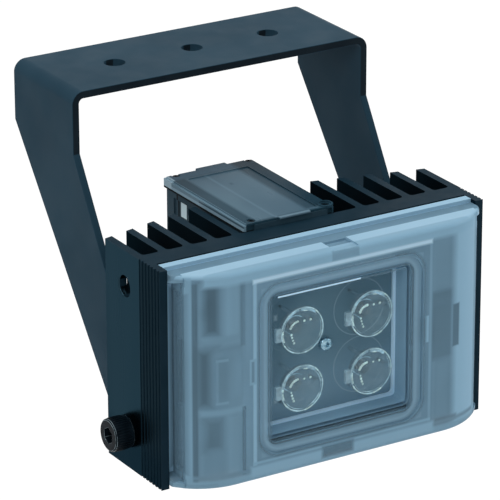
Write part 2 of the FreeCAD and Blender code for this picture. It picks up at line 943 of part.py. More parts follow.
def lid_wedge(x0, x1, y0, y1, sink, rise):
    """A wedge that follows the lid's sloping top, from sink below it to rise above it."""
    points = [
        V(x0, y0, lid_top(y0) - sink),
        V(x0, y1, lid_top(y1) - sink),
        V(x0, y1, lid_top(y1) + rise),
        V(x0, y0, lid_top(y0) + rise),
    ]
    return prism(points, V(x1 - x0, 0, 0))


def lid_screw_bore_r():
    return lid_screw_d / 2 + thread_gap


def lid_outline(z0, z1):
    """The lid's outline with the ear round its front right screw, as an upright block."""
    blank = rounded_block(lid_left, lid_right, lid_front, housing_rear, z0, z1, lid_corner)
    x, y = lid_screw_spots[1]
    return joined([blank, rod(V(x, y, z0), V(x, y, z1), lid_ring_d / 2)])


def lid_gasket():
    ring = lid_outline(housing_top, body_height)
    room = box(
        housing_left + housing_wall,
        housing_right - housing_wall,
        plate_rear + housing_wall,
        housing_rear - housing_wall,
        housing_top - past,
        body_height + past,
    )
    columns = [
        rod(V(x, y, housing_top), V(x, y, body_height), lid_boss_r) for x, y in lid_screw_spots
    ]
    beyond_rib = box(
        lid_left - past,
        lid_right + past,
        plate_rear + lid_rib_t + face_gap,
        housing_rear,
        housing_top,
        body_height,
    )
    seal = joined([ring.cut(room)] + columns).common(beyond_rib)
    bores = []
    for x, y in lid_screw_spots:
        start = V(x, y, housing_top - past)
        bores.append(rod(start, V(x, y, body_height + past), lid_screw_bore_r()))
    return seal.cut(bores)


def lid_plate():
    """The lid's solid body: sloping top, ledges at its edges, rear tab, front lip and ring."""
    x0 = lid_left - lid_ring_d
    x1 = lid_right + lid_ring_d
    y0 = plate_rear - lid_ring_d
    y1 = housing_rear + lid_ring_d
    block = lid_outline(body_height, body_height + 2 * lid_rear_t)
    plate = block.cut(lid_wedge(x0, x1, y0, y1, 0, 2 * lid_rear_t))
    above_ledges = lid_wedge(x0, x1, lid_front, y1, lid_ledge_h, past)
    inner = box(
        lid_left + lid_ledge_w,
        lid_right - lid_ledge_w,
        y0,
        housing_rear - lid_ledge_w,
        body_height,
        body_height + 2 * lid_rear_t,
    )
    plate = plate.cut(above_ledges.cut(inner))
    tab = box(
        lid_tab_x - lid_tab_w / 2,
        lid_tab_x + lid_tab_w / 2,
        housing_rear - lid_ledge_w - past,
        housing_rear + lid_tab_reach,
        body_height,
        body_height + lid_tab_t,
    )
    lip_top = lid_top(lid_front)
    lip = box(
        lid_tab_x - lid_lip_w / 2,
        lid_tab_x + lid_lip_w / 2,
        lid_front - lid_lip_reach,
        lid_front + face_gap,
        lip_top - lid_skin,
        lip_top,
    )
    x, y = lid_screw_spots[1]
    ring_top = lid_top(y) + lid_ring_h
    ring = rod(V(x, y, body_height), V(x, y, ring_top), lid_ring_d / 2)
    dish = rod(V(x, y, lid_top(y)), V(x, y, ring_top + past), lid_ring_d / 2 - lid_ring_w)
    return joined([plate, tab, lip, ring]).cut(dish)


def driver_lid():
    """The lid with its inset panel, screw holes and the step over the housing's rib."""
    cuts = [lid_wedge(
        housing_left + lid_panel_left,
        housing_right - lid_panel_right,
        plate_rear + lid_panel_front,
        housing_rear - lid_panel_rear,
        lid_panel_depth,
        past,
    )]
    cuts.append(box(
        lid_left + lid_ledge_w,
        lid_right - lid_ledge_w,
        plate_rear - past,
        plate_rear + lid_rib_t + face_gap,
        body_height - past,
        lid_top(lid_front) - lid_skin,
    ))
    for x, y in lid_screw_spots:
        above = V(x, y, lid_top(y) + lid_ring_h + past)
        cuts.append(rod(V(x, y, body_height - past), above, lid_screw_bore_r()))
        cuts.append(rod(V(x, y, lid_seat(y)), above, lid_screw_head_d / 2 + face_gap))
    return lid_plate().cut(cuts)


def lid_seat(y):
    """The level that a lid screw's head rests on."""
    return lid_top(y) - lid_screw_sink - lid_screw_head_h


def lid_screws():
    screws = []
    for x, y in lid_screw_spots:
        seat = lid_seat(y)
        length = seat - housing_top + lid_screw_length - past
        screw = pan_screw(lid_screw_d, length, lid_screw_head_d, lid_screw_head_h)
        screws.append(aimed(screw, V(x, y, seat), V(0, 0, 1)))
    return screws


def driver_board():
    return box(
        driver_board_x - driver_board_t / 2,
        driver_board_x + driver_board_t / 2,
        plate_rear + housing_wall + face_gap,
        housing_rear - housing_wall - face_gap,
        housing_inside,
        housing_inside + driver_board_rise,
    )


def board_face():
    return driver_board_x + driver_board_t / 2


def toroid():
    """The driver's choke, a wound ring standing flat on the board."""
    centre_y = plate_rear + housing_depth / 3
    centre_z = housing_inside + driver_board_rise * 3 / 4
    start = V(board_face(), centre_y, centre_z)
    end = start + V(toroid_t, 0, 0)
    ring = rod(start, end, toroid_d / 2).cut(
        rod(start - V(past, 0, 0), end + V(past, 0, 0), toroid_bore_d / 2)
    )
    rims = [e for e in ring.Edges if e.BoundBox.XMin > board_face() + toroid_t / 2]
    return ring.makeFillet(toroid_t / 4, rims)


def capacitors():
    centre_y = plate_rear + housing_depth * 2 / 3
    centre_z = housing_inside + driver_board_rise * 3 / 4
    pair = []
    for side in (-1, 1):
        z = centre_z + side * (capacitor_d / 2 + face_gap)
        start = V(board_face(), centre_y, z)
        can = rod(start, start + V(capacitor_length, 0, 0), capacitor_d / 2)
        rim = [e for e in can.Edges if e.BoundBox.XMin > board_face() + capacitor_length / 2]
        pair.append(can.makeFillet(capacitor_d / 12, rim))
    return pair


def transformer():
    """The driver's transformer: a wound core between two thin flanges."""
    x0 = board_face()
    y_mid = (plate_rear + housing_rear) / 2
    z_base = housing_inside + driver_board_rise / 4
    flange = transformer_h / 6
    core = box(
        x0,
        x0 + transformer_t,
        y_mid - transformer_w / 2 + flange,
        y_mid + transformer_w / 2 - flange,
        z_base,
        z_base + transformer_h,
    )
    ends = []
    for z in (z_base, z_base + transformer_h - flange):
        ends.append(box(
            x0,
            x0 + transformer_t,
            y_mid - transformer_w / 2,
            y_mid + transformer_w / 2,
            z,
            z + flange,
        ))
    return joined([core] + ends)


def terminal_block():
    """Three screw terminals on the front half of the board's lower edge."""
    x0 = board_face()
    y0 = plate_rear + housing_wall + 2 * guide_depth
    z0 = housing_inside + terminal_h / 2
    block = box(x0, x0 + terminal_t, y0, y0 + terminal_w, z0, z0 + terminal_h)
    ways = 3
    pitch = terminal_w / ways
    cuts = []
    for way in range(ways):
        y = y0 + pitch * (way + 0.5)
        end = V(x0 + terminal_t + past, y, z0 + terminal_h / 2)
        cuts.append(rod(end - V(past + terminal_t / 3, 0, 0), end, pitch / 4))
    return block.cut(cuts)


def gland_at(shape):
    """Places a gland piece that was made along Z with Z = 0 at the housing's underside."""
    copy = shape.copy()
    copy.translate(V(gland_x, (plate_rear + housing_rear) / 2, housing_lift))
    return copy


def gland_washer():
    outer = gland_hex / 2
    ring = rod(V(0, 0, -gland_washer_t), V(0, 0, 0), outer)
    bore = rod(V(0, 0, -gland_washer_t - past), V(0, 0, past), gland_thread_d / 2 + thread_gap)
    return gland_at(ring.cut(bore))


def gland_body():
    """The gland's threaded body with its hexagon flange outside the housing."""
    flange_top = -gland_washer_t
    flange_low = flange_top - gland_flange_t
    stub_low = flange_low - gland_stub
    top = housing_floor + gland_nut_t + past
    flange = hexagon(gland_hex, flange_low, flange_top)
    thread = rod(V(0, 0, stub_low), V(0, 0, top), gland_thread_d / 2)
    bore = rod(V(0, 0, stub_low - past), V(0, 0, top + past), gland_bore_d / 2)
    seat = rod(
        V(0, 0, stub_low - past), V(0, 0, stub_low + gland_seal_length), gland_seal_d / 2 + thread_gap
    )
    return gland_at(joined([flange, thread]).cut([bore, seat]))


def gland_seal():
    low = -gland_washer_t - gland_flange_t - gland_stub
    ring = rod(V(0, 0, low), V(0, 0, low + gland_seal_length), gland_seal_d / 2)
    bore = rod(V(0, 0, low - past), V(0, 0, low + gland_seal_length + past), gland_cable_d / 2)
    return gland_at(ring.cut(bore))


def gland_cap():
    """The hexagon cap that squeezes the seal round the cable, rounded at its end."""
    top = -gland_washer_t - gland_flange_t - face_gap
    stub_low = -gland_washer_t - gland_flange_t - gland_stub
    low = stub_low - gland_cap_end
    hexed = hexagon(gland_hex, low, top)
    turned = rod(V(0, 0, low), V(0, 0, top), gland_hex / math.sqrt(3))
    rims = [e for e in turned.Edges if e.BoundBox.ZMax < (low + top) / 2]
    hexed = hexed.common(turned.makeChamfer(gland_cap_edge, rims))
    bore = rod(V(0, 0, low - past), V(0, 0, top + past), gland_bore_d / 2)
    thread = rod(V(0, 0, stub_low), V(0, 0, top + past), gland_thread_d / 2 + thread_gap)
    return gland_at(hexed.cut([bore, thread]))


def gland_nut():
    """The flat nut that holds the gland from inside the housing."""
    low = housing_floor
    nut = hexagon(gland_hex, low, low + gland_nut_t)
    bore = rod(V(0, 0, low - past), V(0, 0, low + gland_nut_t + past), gland_thread_d / 2 + thread_gap)
    return gland_at(nut.cut(bore))


def leg_profile():
    """The bracket's side view: the strap's edge, the sloping leg and its rounded foot."""
    front_y = strap_y - strap_w / 2
    rear_y = strap_y + strap_w / 2
    knee = V(0, front_y, strap_top - knee_drop)
    rear_knee = V(0, rear_y, strap_top - rear_knee_drop)
    pivot = V(0, pivot_y, pivot_z)
    to_knee = knee - pivot
    lean = math.atan2(to_knee.z, to_knee.y)
    touch_angle = lean + math.acos(leg_end_radius / to_knee.Length)
    touch = pivot + V(0, math.cos(touch_angle), math.sin(touch_angle)) * leg_end_radius
    middle_angle = (touch_angle + 3 * math.pi / 2) / 2
    middle = pivot + V(0, math.cos(middle_angle), math.sin(middle_angle)) * leg_end_radius
    bottom = pivot - V(0, 0, leg_end_radius)
    to_rear = rear_knee - pivot
    rear_lean = math.atan2(to_rear.z, to_rear.y)
    rear_angle = rear_lean - math.acos(leg_heel / to_rear.Length)
    heel_touch = pivot + V(0, math.cos(rear_angle), math.sin(rear_angle)) * leg_heel
    down = heel_touch - rear_knee
    share = (bottom.z - rear_knee.z) / down.z
    heel = rear_knee + down * share
    edges = [
        Part.makeLine(V(0, front_y, strap_top), knee),
        Part.makeLine(knee, touch),
        Part.Arc(touch, middle, bottom).toShape(),
        Part.makeLine(bottom, heel),
        Part.makeLine(heel, rear_knee),
        Part.makeLine(rear_knee, V(0, rear_y, strap_top)),
        Part.makeLine(V(0, rear_y, strap_top), V(0, front_y, strap_top)),
    ]
    side = Part.Face(Part.Wire(Part.__sortEdges__(edges)))
    side = side.extrude(V(2 * leg_outer, 0, 0))
    side.translate(V(-leg_outer, 0, 0))
    corners = []
    for edge in edges_along(side, V(1, 0, 0)):
        spot = edge.CenterOfMass
        if abs(spot.y - heel.y) < 0.01 and abs(spot.z - heel.z) < 0.01:
            corners.append(edge)
    return side.makeFillet(leg_heel_radius, corners)


def mounting_bracket():
    """The bracket, folded from one strip: bent section and side view brought together."""
    low = pivot_z - leg_end_radius - past
    y0 = pivot_y - leg_end_radius - past
    y1 = strap_y + strap_w / 2 + past
    outer = box(-leg_outer, leg_outer, y0, y1, low, strap_top)
    tops = []
    for edge in edges_along(outer, V(0, 1, 0)):
        if edge.CenterOfMass.z > strap_top - past:
            tops.append(edge)
    outer = outer.makeFillet(bend_radius, tops)
    inner = box(-leg_inner, leg_inner, y0 - past, y1 + past, low - past, strap_top - sheet)
    insides = []
    for edge in edges_along(inner, V(0, 1, 0)):
        if edge.CenterOfMass.z > low:
            insides.append(edge)
    inner = inner.makeFillet(bend_radius - sheet, insides)
    strip = outer.cut(inner).common(leg_profile())
    holes = []
    for index in (-1, 0, 1):
        x = index * mount_hole_pitch
        start = V(x, strap_y, strap_top - sheet - past)
        holes.append(rod(start, V(x, strap_y, strap_top + past), mount_hole_d / 2))
    start = V(-leg_outer - past, pivot_y, pivot_z)
    end = V(leg_outer + past, pivot_y, pivot_z)
    holes.append(rod(start, end, pivot_screw_d / 2 + thread_gap))
    return strip.cut(holes)


def pivot_screw(side):
    length = body_half - leg_inner + pivot_tip
    screw = socket_screw(
        pivot_screw_d,
        length,
        pivot_head_d,
        pivot_head_h,
        pivot_socket,
        pivot_socket_depth,
        pivot_chamfer,
    )
    return aimed(screw, V(side * (body_half + face_gap / 2), pivot_y, pivot_z), V(side, 0, 0))


def pivot_washer(side):
    inner = V(side * leg_outer, pivot_y, pivot_z)
    outer = V(side * (leg_outer + pivot_washer_t), pivot_y, pivot_z)
    ring = rod(inner, outer, pivot_washer_d / 2)
    step = V(side * past, 0, 0)
    return ring.cut(rod(inner - step, outer + step, pivot_screw_d / 2 + pivot_gap))


def save(name, shape):
    """Moves a piece from the lamp frame to the mounting frame and writes its file."""
    solids = shape if isinstance(shape, list) else [shape]
    whole = Part.makeCompound(solids) if len(solids) > 1 else solids[0]
    placed = whole.copy()
    placed.translate(V(0, -strap_y, -strap_top))
    if len(solids) == 1 and len(placed.Solids) == 1:
        placed = placed.Solids[0]
    placed.exportStep("parts/" + name + ".step")
    count = len(placed.Solids)
    print("%-22s %2d solid(s) %10.1f mm3" % (name, count, placed.Volume))


def main():
    os.makedirs("parts", exist_ok=True)
    save("mounting_bracket", mounting_bracket())
    for name, side in (("left", -1), ("right", 1)):
        save("pivot_screw_" + name, pivot_screw(side))
        save("pivot_washer_" + name, pivot_washer(side))
    save("heat_sink", heat_sink())
    save("front_cover", front_cover())
    save("cover_gasket", cover_gasket())
    save("cover_screws", cover_screws())
    save("heat_spreader", heat_spreader())
    save("spreader_screws", spreader_screws())
    save("thermal_pad", board_panel(spreader_front - pad_t, spreader_front, spreader_margin))
    save("led_board", board_panel(board_front, board_front + board_t, 0))
    save("board_screw", board_screw())
    for name, spot in led_spots.items():
        save("led_" + name, led(*spot))
        save("lens_" + name, lens(*spot))
    save("driver_housing", driver_housing())
    save("housing_screws", housing_screws())
    save("lid_gasket", lid_gasket())
    save("driver_lid", driver_lid())
    save("lid_screws", lid_screws())
    save("driver_board", driver_board())
    save("choke", toroid())
    save("capacitors", capacitors())
    save("transformer", transformer())
    save("terminal_block", terminal_block())
    save("gland_washer", gland_washer())
    save("gland_body", gland_body())
    save("gland_seal", gland_seal())
    save("gland_cap", gland_cap())
    save("gland_nut", gland_nut())


main()
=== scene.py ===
import bmesh
import bpy
import json
import math
from mathutils import Matrix, Vector

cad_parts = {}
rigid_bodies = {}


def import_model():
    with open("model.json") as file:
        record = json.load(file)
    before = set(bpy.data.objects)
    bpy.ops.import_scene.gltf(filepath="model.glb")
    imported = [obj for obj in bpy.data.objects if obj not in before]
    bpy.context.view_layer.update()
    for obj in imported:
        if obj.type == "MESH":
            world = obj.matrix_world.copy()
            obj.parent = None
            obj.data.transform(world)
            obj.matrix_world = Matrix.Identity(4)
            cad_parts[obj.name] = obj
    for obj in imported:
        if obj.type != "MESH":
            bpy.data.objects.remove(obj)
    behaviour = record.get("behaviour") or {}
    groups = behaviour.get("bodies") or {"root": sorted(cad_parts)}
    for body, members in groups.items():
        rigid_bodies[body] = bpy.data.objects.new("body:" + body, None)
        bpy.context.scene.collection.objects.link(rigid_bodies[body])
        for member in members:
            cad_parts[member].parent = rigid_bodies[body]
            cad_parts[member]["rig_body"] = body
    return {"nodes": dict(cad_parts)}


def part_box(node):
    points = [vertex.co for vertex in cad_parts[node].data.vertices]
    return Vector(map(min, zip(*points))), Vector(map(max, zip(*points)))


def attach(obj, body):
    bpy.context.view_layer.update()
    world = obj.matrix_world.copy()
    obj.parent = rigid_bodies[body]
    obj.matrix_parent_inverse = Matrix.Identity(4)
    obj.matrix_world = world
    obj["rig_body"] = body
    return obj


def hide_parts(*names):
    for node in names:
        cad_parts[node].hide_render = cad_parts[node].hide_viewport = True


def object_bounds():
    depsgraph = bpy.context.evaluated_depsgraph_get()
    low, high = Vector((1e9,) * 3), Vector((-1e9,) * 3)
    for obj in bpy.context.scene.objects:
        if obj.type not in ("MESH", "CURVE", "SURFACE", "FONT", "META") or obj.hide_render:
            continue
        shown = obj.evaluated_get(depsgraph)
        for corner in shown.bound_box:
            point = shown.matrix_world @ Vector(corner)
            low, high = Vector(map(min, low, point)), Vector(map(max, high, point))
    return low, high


# A flood light with four LEDs behind a frosted cover, tilting in a steel bracket.
# Sizes of the details added here are in millimetres in the lamp's own frame: X across,
# Y from the side walls' front edge to the rear, Z up from the lamp's underside.

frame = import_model()
nodes = frame["nodes"]
cad_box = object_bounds()
scene = bpy.context.scene
MM = 0.001

sink_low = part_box("heat_sink")[0]
lid_low, lid_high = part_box("driver_lid")
LAMP_CORNER = Vector((0, sink_low.y, sink_low.z))
LED_NODES = ["led_upper_left", "led_upper_right", "led_lower_left", "led_lower_right"]


def at(x, y, z):
    """A point given in millimetres in the lamp's frame, as the model's own metres."""
    return LAMP_CORNER + Vector((x, y, z)) * MM


def middle(node):
    low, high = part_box(node)
    return (low + high) / 2


# Node trees

FLOAT = "NodeSocketFloat"
VECTOR = "NodeSocketVector"
INTEGER = "NodeSocketInt"
MATERIAL = "NodeSocketMaterial"
GEOMETRY = "NodeSocketGeometry"
PLACE = ("Place", VECTOR, None)
CENTRE = ("Centre", VECTOR, (0.0, 0.0, 0.0))
HALF_SIZE = ("Half size", VECTOR, (0.01, 0.01, 0.01))


class Sheet:
    """A node tree that is filled from left to right."""

    def __init__(self, tree):
        self.tree = tree
        self.count = 0

    def add(self, kind, **settings):
        node = self.tree.nodes.new(kind)
        for name, value in settings.items():
            setattr(node, name, value)
        node.location = (180 * (self.count % 8), -220 * (self.count // 8))
        self.count += 1
        return node

    def link(self, source, target):
        self.tree.links.new(source, target)

    def feed(self, value, socket):
        if isinstance(value, bpy.types.NodeSocket):
            self.link(value, socket)
        else:
            socket.default_value = value

    def fill(self, node, **values):
        """Links or sets a node's inputs by name, with underscores for the spaces."""
        for name, value in values.items():
            self.feed(value, node.inputs[name.replace("_", " ")])
        return node

    def math(self, operation, *values, clamp=False):
        node = self.add("ShaderNodeMath", operation=operation, use_clamp=clamp)
        for socket, value in zip(node.inputs, values):
            self.feed(value, socket)
        return node.outputs[0]

    def vector(self, operation, *values):
        node = self.add("ShaderNodeVectorMath", operation=operation)
        for socket, value in zip(node.inputs, values):
            self.feed(value, socket)
        return node.outputs["Value" if operation == "LENGTH" else "Vector"]

    def scaled(self, vector, amount):
        node = self.add("ShaderNodeVectorMath", operation="SCALE")
        self.feed(vector, node.inputs[0])
        return self.fill(node, Scale=amount).outputs["Vector"]

    def parts(self, vector):
        node = self.add("ShaderNodeSeparateXYZ")
        self.link(vector, node.inputs[0])
        return node.outputs

    def blend(self, amount, first, second):
        """A colour between two."""
        node = self.add("ShaderNodeMix", data_type="RGBA")
        return self.fill(node, Factor=amount, A=first, B=second).outputs["Result"]

    def level(self, amount, first, second):
        """A number between two."""
        node = self.add("ShaderNodeMix", data_type="FLOAT")
        return self.fill(node, Factor=amount, A=first, B=second).outputs["Result"]


def add_inputs(tree, sockets):
    for label, kind, value in sockets:
        socket = tree.interface.new_socket(label, in_out="INPUT", socket_type=kind)
        if value is not None:
            socket.default_value = value


def shader_group(name, output, sockets):
    """A shader group with named inputs and one number as its output."""
    group = bpy.data.node_groups.new(name, "ShaderNodeTree")
    add_inputs(group, sockets)
    group.interface.new_socket(output, in_out="OUTPUT", socket_type=FLOAT)
    sheet = Sheet(group)
    entry = sheet.add("NodeGroupInput")
    leave = sheet.add("NodeGroupOutput")
    return group, sheet, entry.outputs, leave.inputs[output]


# Shader groups


def grain_group():
    """Fine moulded or coated grain, as a height."""
    group, sheet, given, height = shader_group(
        "fine grain", "Height", [PLACE, ("Fineness", FLOAT, 2500.0), ("Softness", FLOAT, 0.5)]
    )
    noise = sheet.fill(
        sheet.add("ShaderNodeTexNoise"),
        Vector=given["Place"],
        Scale=given["Fineness"],
        Roughness=given["Softness"],
        Detail=3.0,
    )
    sheet.link(noise.outputs["Fac"], height)
    return group


def mottle_group():
    """Broad uneven patches between two values, stretched along one axis."""
    group, sheet, given, value = shader_group(
        "uneven patches",
        "Value",
        [
            PLACE,
            ("Stretch", VECTOR, (1.0, 1.0, 1.0)),
            ("Scale", FLOAT, 60.0),
            ("Low", FLOAT, 0.0),
            ("High", FLOAT, 1.0),
        ],
    )
    noise = sheet.fill(
        sheet.add("ShaderNodeTexNoise"),
        Vector=sheet.vector("MULTIPLY", given["Place"], given["Stretch"]),
        Scale=given["Scale"],
        Detail=2.0,
    )
    ramp = sheet.fill(
        sheet.add("ShaderNodeMapRange", interpolation_type="SMOOTHSTEP"),
        Value=noise.outputs["Fac"],
        From_Min=0.3,
        From_Max=0.7,
        To_Min=given["Low"],
        To_Max=given["High"],
    )
    sheet.link(ramp.outputs["Result"], value)
    return group


def patch_group():
    """One inside a box given by its centre and half sizes, fading out over a soft edge."""
    group, sheet, given, mask = shader_group(
        "box mask", "Mask", [PLACE, CENTRE, HALF_SIZE, ("Edge", FLOAT, 0.001)]
    )
    away = sheet.vector("ABSOLUTE", sheet.vector("SUBTRACT", given["Place"], given["Centre"]))
    inside = sheet.parts(sheet.vector("SUBTRACT", given["Half size"], away))
    least = sheet.math("MINIMUM", inside["X"], inside["Y"])
    least = sheet.math("MINIMUM", least, inside["Z"])
    share = sheet.math("DIVIDE", least, given["Edge"])
    sheet.link(sheet.math("ADD", share, 0.5, clamp=True), mask)
    return group


def ring_group():
    """A thin circle round an axis that runs from front to back."""
    group, sheet, given, mask = shader_group(
        "ring mask",
        "Mask",
        [PLACE, CENTRE, ("Radius", FLOAT, 0.01), ("Line", FLOAT, 0.0003)],
    )
    offset = sheet.vector("SUBTRACT", given["Place"], given["Centre"])
    reach = sheet.vector("LENGTH", sheet.vector("MULTIPLY", offset, (1.0, 0.0, 1.0)))
    off = sheet.math("ABSOLUTE", sheet.math("SUBTRACT", reach, given["Radius"]))
    share = sheet.math("DIVIDE", off, given["Line"])
    sheet.link(sheet.math("SUBTRACT", 1.0, share, clamp=True), mask)
    return group


def skin_group():
    """Depth under an outer skin that is flat in the middle and round towards both ends."""
    group, sheet, given, depth = shader_group(
        "depth under skin",
        "Depth",
        [PLACE, CENTRE, ("Flat half", FLOAT, 0.05), ("Radius", FLOAT, 0.03)],
    )
    offset = sheet.parts(sheet.vector("SUBTRACT", given["Place"], given["Centre"]))
    across = sheet.math("SUBTRACT", sheet.math("ABSOLUTE", offset["X"]), given["Flat half"])
    flat = sheet.fill(
        sheet.add("ShaderNodeCombineXYZ"), X=sheet.math("MAXIMUM", across, 0.0), Y=offset["Y"]
    )
    reach = sheet.vector("LENGTH", flat.outputs[0])
    sheet.link(sheet.math("SUBTRACT", given["Radius"], reach), depth)
    return group


def outline_group():
    """A line along a rectangle with rounded corners that stands upright."""
    group, sheet, given, mask = shader_group(
        "rounded outline",
        "Mask",
        [PLACE, CENTRE, HALF_SIZE, ("Corner", FLOAT, 0.003), ("Line", FLOAT, 0.0005)],
    )
    away = sheet.vector("ABSOLUTE", sheet.vector("SUBTRACT", given["Place"], given["Centre"]))
    past = sheet.parts(sheet.vector("SUBTRACT", away, given["Half size"]))
    x = sheet.math("ADD", past["X"], given["Corner"])
    z = sheet.math("ADD", past["Z"], given["Corner"])
    corner = sheet.fill(
        sheet.add("ShaderNodeCombineXYZ"),
        X=sheet.math("MAXIMUM", x, 0.0),
        Z=sheet.math("MAXIMUM", z, 0.0),
    )
    round_part = sheet.vector("LENGTH", corner.outputs[0])
    straight = sheet.math("MINIMUM", sheet.math("MAXIMUM", x, z), 0.0)
    gap = sheet.math("SUBTRACT", sheet.math("ADD", round_part, straight), given["Corner"])
    share = sheet.math("DIVIDE", sheet.math("ABSOLUTE", gap), given["Line"])
    sheet.link(sheet.math("SUBTRACT", 1.0, share, clamp=True), mask)
    return group


FINE_GRAIN = grain_group()
UNEVEN = mottle_group()
BOX_MASK = patch_group()
RING_MASK = ring_group()
SKIN_DEPTH = skin_group()
OUTLINE = outline_group()


# Materials


class Finish(Sheet):
    """A material with one Principled shader, whose effects follow the object's own place."""

    def __init__(self, name, **values):
        self.material = bpy.data.materials.new(name)
        self.material.use_nodes = True
        self.material.node_tree.nodes.clear()
        super().__init__(self.material.node_tree)
        self.shader = self.fill(self.add("ShaderNodeBsdfPrincipled"), **values)
        self.fill(self.add("ShaderNodeOutputMaterial"), Surface=self.shader.outputs[0])
        self.place = self.add("ShaderNodeTexCoord").outputs["Object"]

    def shade(self, **values):
        self.fill(self.shader, **values)

    def effect(self, group, **values):
        node = self.add("ShaderNodeGroup", node_tree=group)
        return self.fill(node, Place=self.place, **values).outputs[0]

    def uneven(self, scale, low=0.0, high=1.0, stretch=(1, 1, 1)):
        return self.effect(UNEVEN, Scale=scale, Stretch=stretch, Low=low, High=high)

    def region(self, x, y, z, soft):
        """A mask over a box of the lamp, its sides and soft edge given in millimetres."""
        low = at(x[0], y[0], z[0])
        high = at(x[1], y[1], z[1])
        return self.effect(
            BOX_MASK, Centre=(low + high) / 2, Half_size=(high - low) / 2, Edge=soft * MM
        )

    def patched(self, scale, dark, light, stretch=(1, 1, 1)):
        """A colour that drifts between two tones."""
        return self.blend(self.uneven(scale, stretch=stretch), (*dark, 1), (*light, 1))

    def tinted(self, colour, mask, tone, share=1.0):
        """The colour with a share of another tone where the mask is."""
        if share < 1:
            mask = self.math("MULTIPLY", mask, share)
        return self.blend(mask, colour, (*tone, 1))

    def grain(self, fineness, depth):
        bump = self.fill(
            self.add("ShaderNodeBump"),
            Strength=1.0,
            Distance=depth * MM,
            Height=self.effect(FINE_GRAIN, Fineness=fineness),
        )
        self.shade(Normal=bump.outputs[0])


def plain_finish(name, dark, light, scale, rough, grain=None, stretch=(1, 1, 1), **values):
    """A finish with slow drift in colour and roughness and, if wanted, a fine grain."""
    finish = Finish(name, **values)
    finish.shade(
        Base_Color=finish.patched(scale, dark, light, stretch),
        Roughness=finish.uneven(scale * 2.3, *rough, stretch),
    )
    if grain:
        finish.grain(*grain)
    return finish.material


def powder_coating():
    """Dark blue-grey coating with a fine grain."""
    finish = Finish("powder coat", Specular_IOR_Level=0.03)
    finish.shade(
        Base_Color=finish.patched(28, (0.016, 0.044, 0.068), (0.021, 0.053, 0.080)),
        Roughness=finish.uneven(70, 0.42, 0.52),
    )
    finish.grain(3200, 0.02)
    return finish.material


# How far the side walls' middles stand from the lamp's middle, half of a wall's thickness,
# and the stretch of the patches along the extrusion.
WALL_X = 72.5
WALL_HALF = 2.5
DRAWN = (1, 1, 0.12)


def anodising():
    """Black anodising, with painted shade over the grooved fronts, at the walls' foot and in the
    gaps.
    """
    finish = Finish("black anodising", Metallic=1.0, Specular_Tint=(0.51, 0.555, 0.59, 1))
    colour = finish.patched(26, (0.014, 0.034, 0.048), (0.020, 0.043, 0.060), DRAWN)
    for side in (-1, 1):
        wall = (side * WALL_X - WALL_HALF, side * WALL_X + WALL_HALF)
        # Painted shade over the grooved front of each wall, and below it at the wall's foot.
        front = finish.region(wall, (-2, 14.4), (-5, 95), 1.0)
        colour = finish.tinted(colour, front, (0.007, 0.012, 0.016), 0.85)
        foot = finish.region(wall, (-2, 45), (-14, 13), 12)
        colour = finish.tinted(colour, foot, (0.001, 0.005, 0.010), 0.9)
    # Painted shade in the gaps between the fins, which are rougher as well.
    gaps = finish.region((-70.6, 70.6), (19.6, 90), (-5, 100), 0.6)
    finish.shade(
        Base_Color=finish.tinted(colour, gaps, (0.0015, 0.004, 0.006), 0.92),
        Roughness=finish.level(gaps, finish.uneven(60, 0.24, 0.3, DRAWN), 0.6),
    )
    finish.grain(5200, 0.008)
    return finish.material


powder_coat = powder_coating()
# Painted shade: a darker copy of the powder coat for the bracket's edge faces that look front and
# back.
coat_edge_shade = plain_finish(
    "coated edge shade", (0.006, 0.012, 0.018), (0.010, 0.018, 0.025), 60, (0.45, 0.55),
    grain=(3200, 0.02), Specular_IOR_Level=0.03,
)
anodised = anodising()
# Painted highlight: a paler finish on the heat sink's rounded edges, for the light lines along
# them.
anodised_edge_highlight = plain_finish(
    "anodised edge highlight", (0.012, 0.032, 0.048), (0.026, 0.056, 0.08), 90, (0.4, 0.5),
    Specular_IOR_Level=0.03,
)
# Painted shade: a darker copy of the anodising for the heat sink's top, bottom, front and back
# faces.
saw_cut_shade = plain_finish(
    "saw cut shade", (0.006, 0.020, 0.032), (0.009, 0.025, 0.039), 60, (0.45, 0.55),
    Specular_IOR_Level=0.03,
)
black_steel = plain_finish(
    "black oxide steel", (0.002, 0.005, 0.008), (0.005, 0.010, 0.015), 300, (0.3, 0.4),
    Specular_IOR_Level=0.04,
)
# Painted glints: pale speckles on the pivot screws' rounded edges.
steel_edge_glint = plain_finish(
    "black steel edge glint", (0.008, 0.018, 0.026), (0.24, 0.32, 0.36), 700, (0.25, 0.35),
    Specular_IOR_Level=0.15,
)
zinc_steel = plain_finish(
    "zinc plated steel", (0.12, 0.26, 0.35), (0.4, 0.6, 0.7), 500, (0.22, 0.34), Metallic=1.0,
)
nylon = plain_finish(
    "black nylon", (0.010, 0.014, 0.018), (0.016, 0.02, 0.025), 120, (0.5, 0.6),
    grain=(2600, 0.015), Specular_IOR_Level=0.1,
)
seal_rubber = plain_finish(
    "seal rubber", (0.008, 0.012, 0.016), (0.013, 0.018, 0.022), 200, (0.7, 0.8),
    Specular_IOR_Level=0.05,
)
bare_aluminium = plain_finish(
    "machined aluminium", (0.5, 0.53, 0.56), (0.62, 0.65, 0.67), 150, (0.3, 0.4),
    stretch=(1, 1, 0.1), Metallic=1.0,
)
thermal_grey = plain_finish(
    "thermal pad", (0.35, 0.4, 0.45), (0.4, 0.45, 0.5), 200, (0.7, 0.8),
)
emitter = plain_finish("emitter", (0.10, 0.15, 0.17), (0.15, 0.2, 0.21), 400, (0.15, 0.25))
laminate = plain_finish("laminate", (0.02, 0.09, 0.05), (0.03, 0.12, 0.07), 120, (0.35, 0.45))
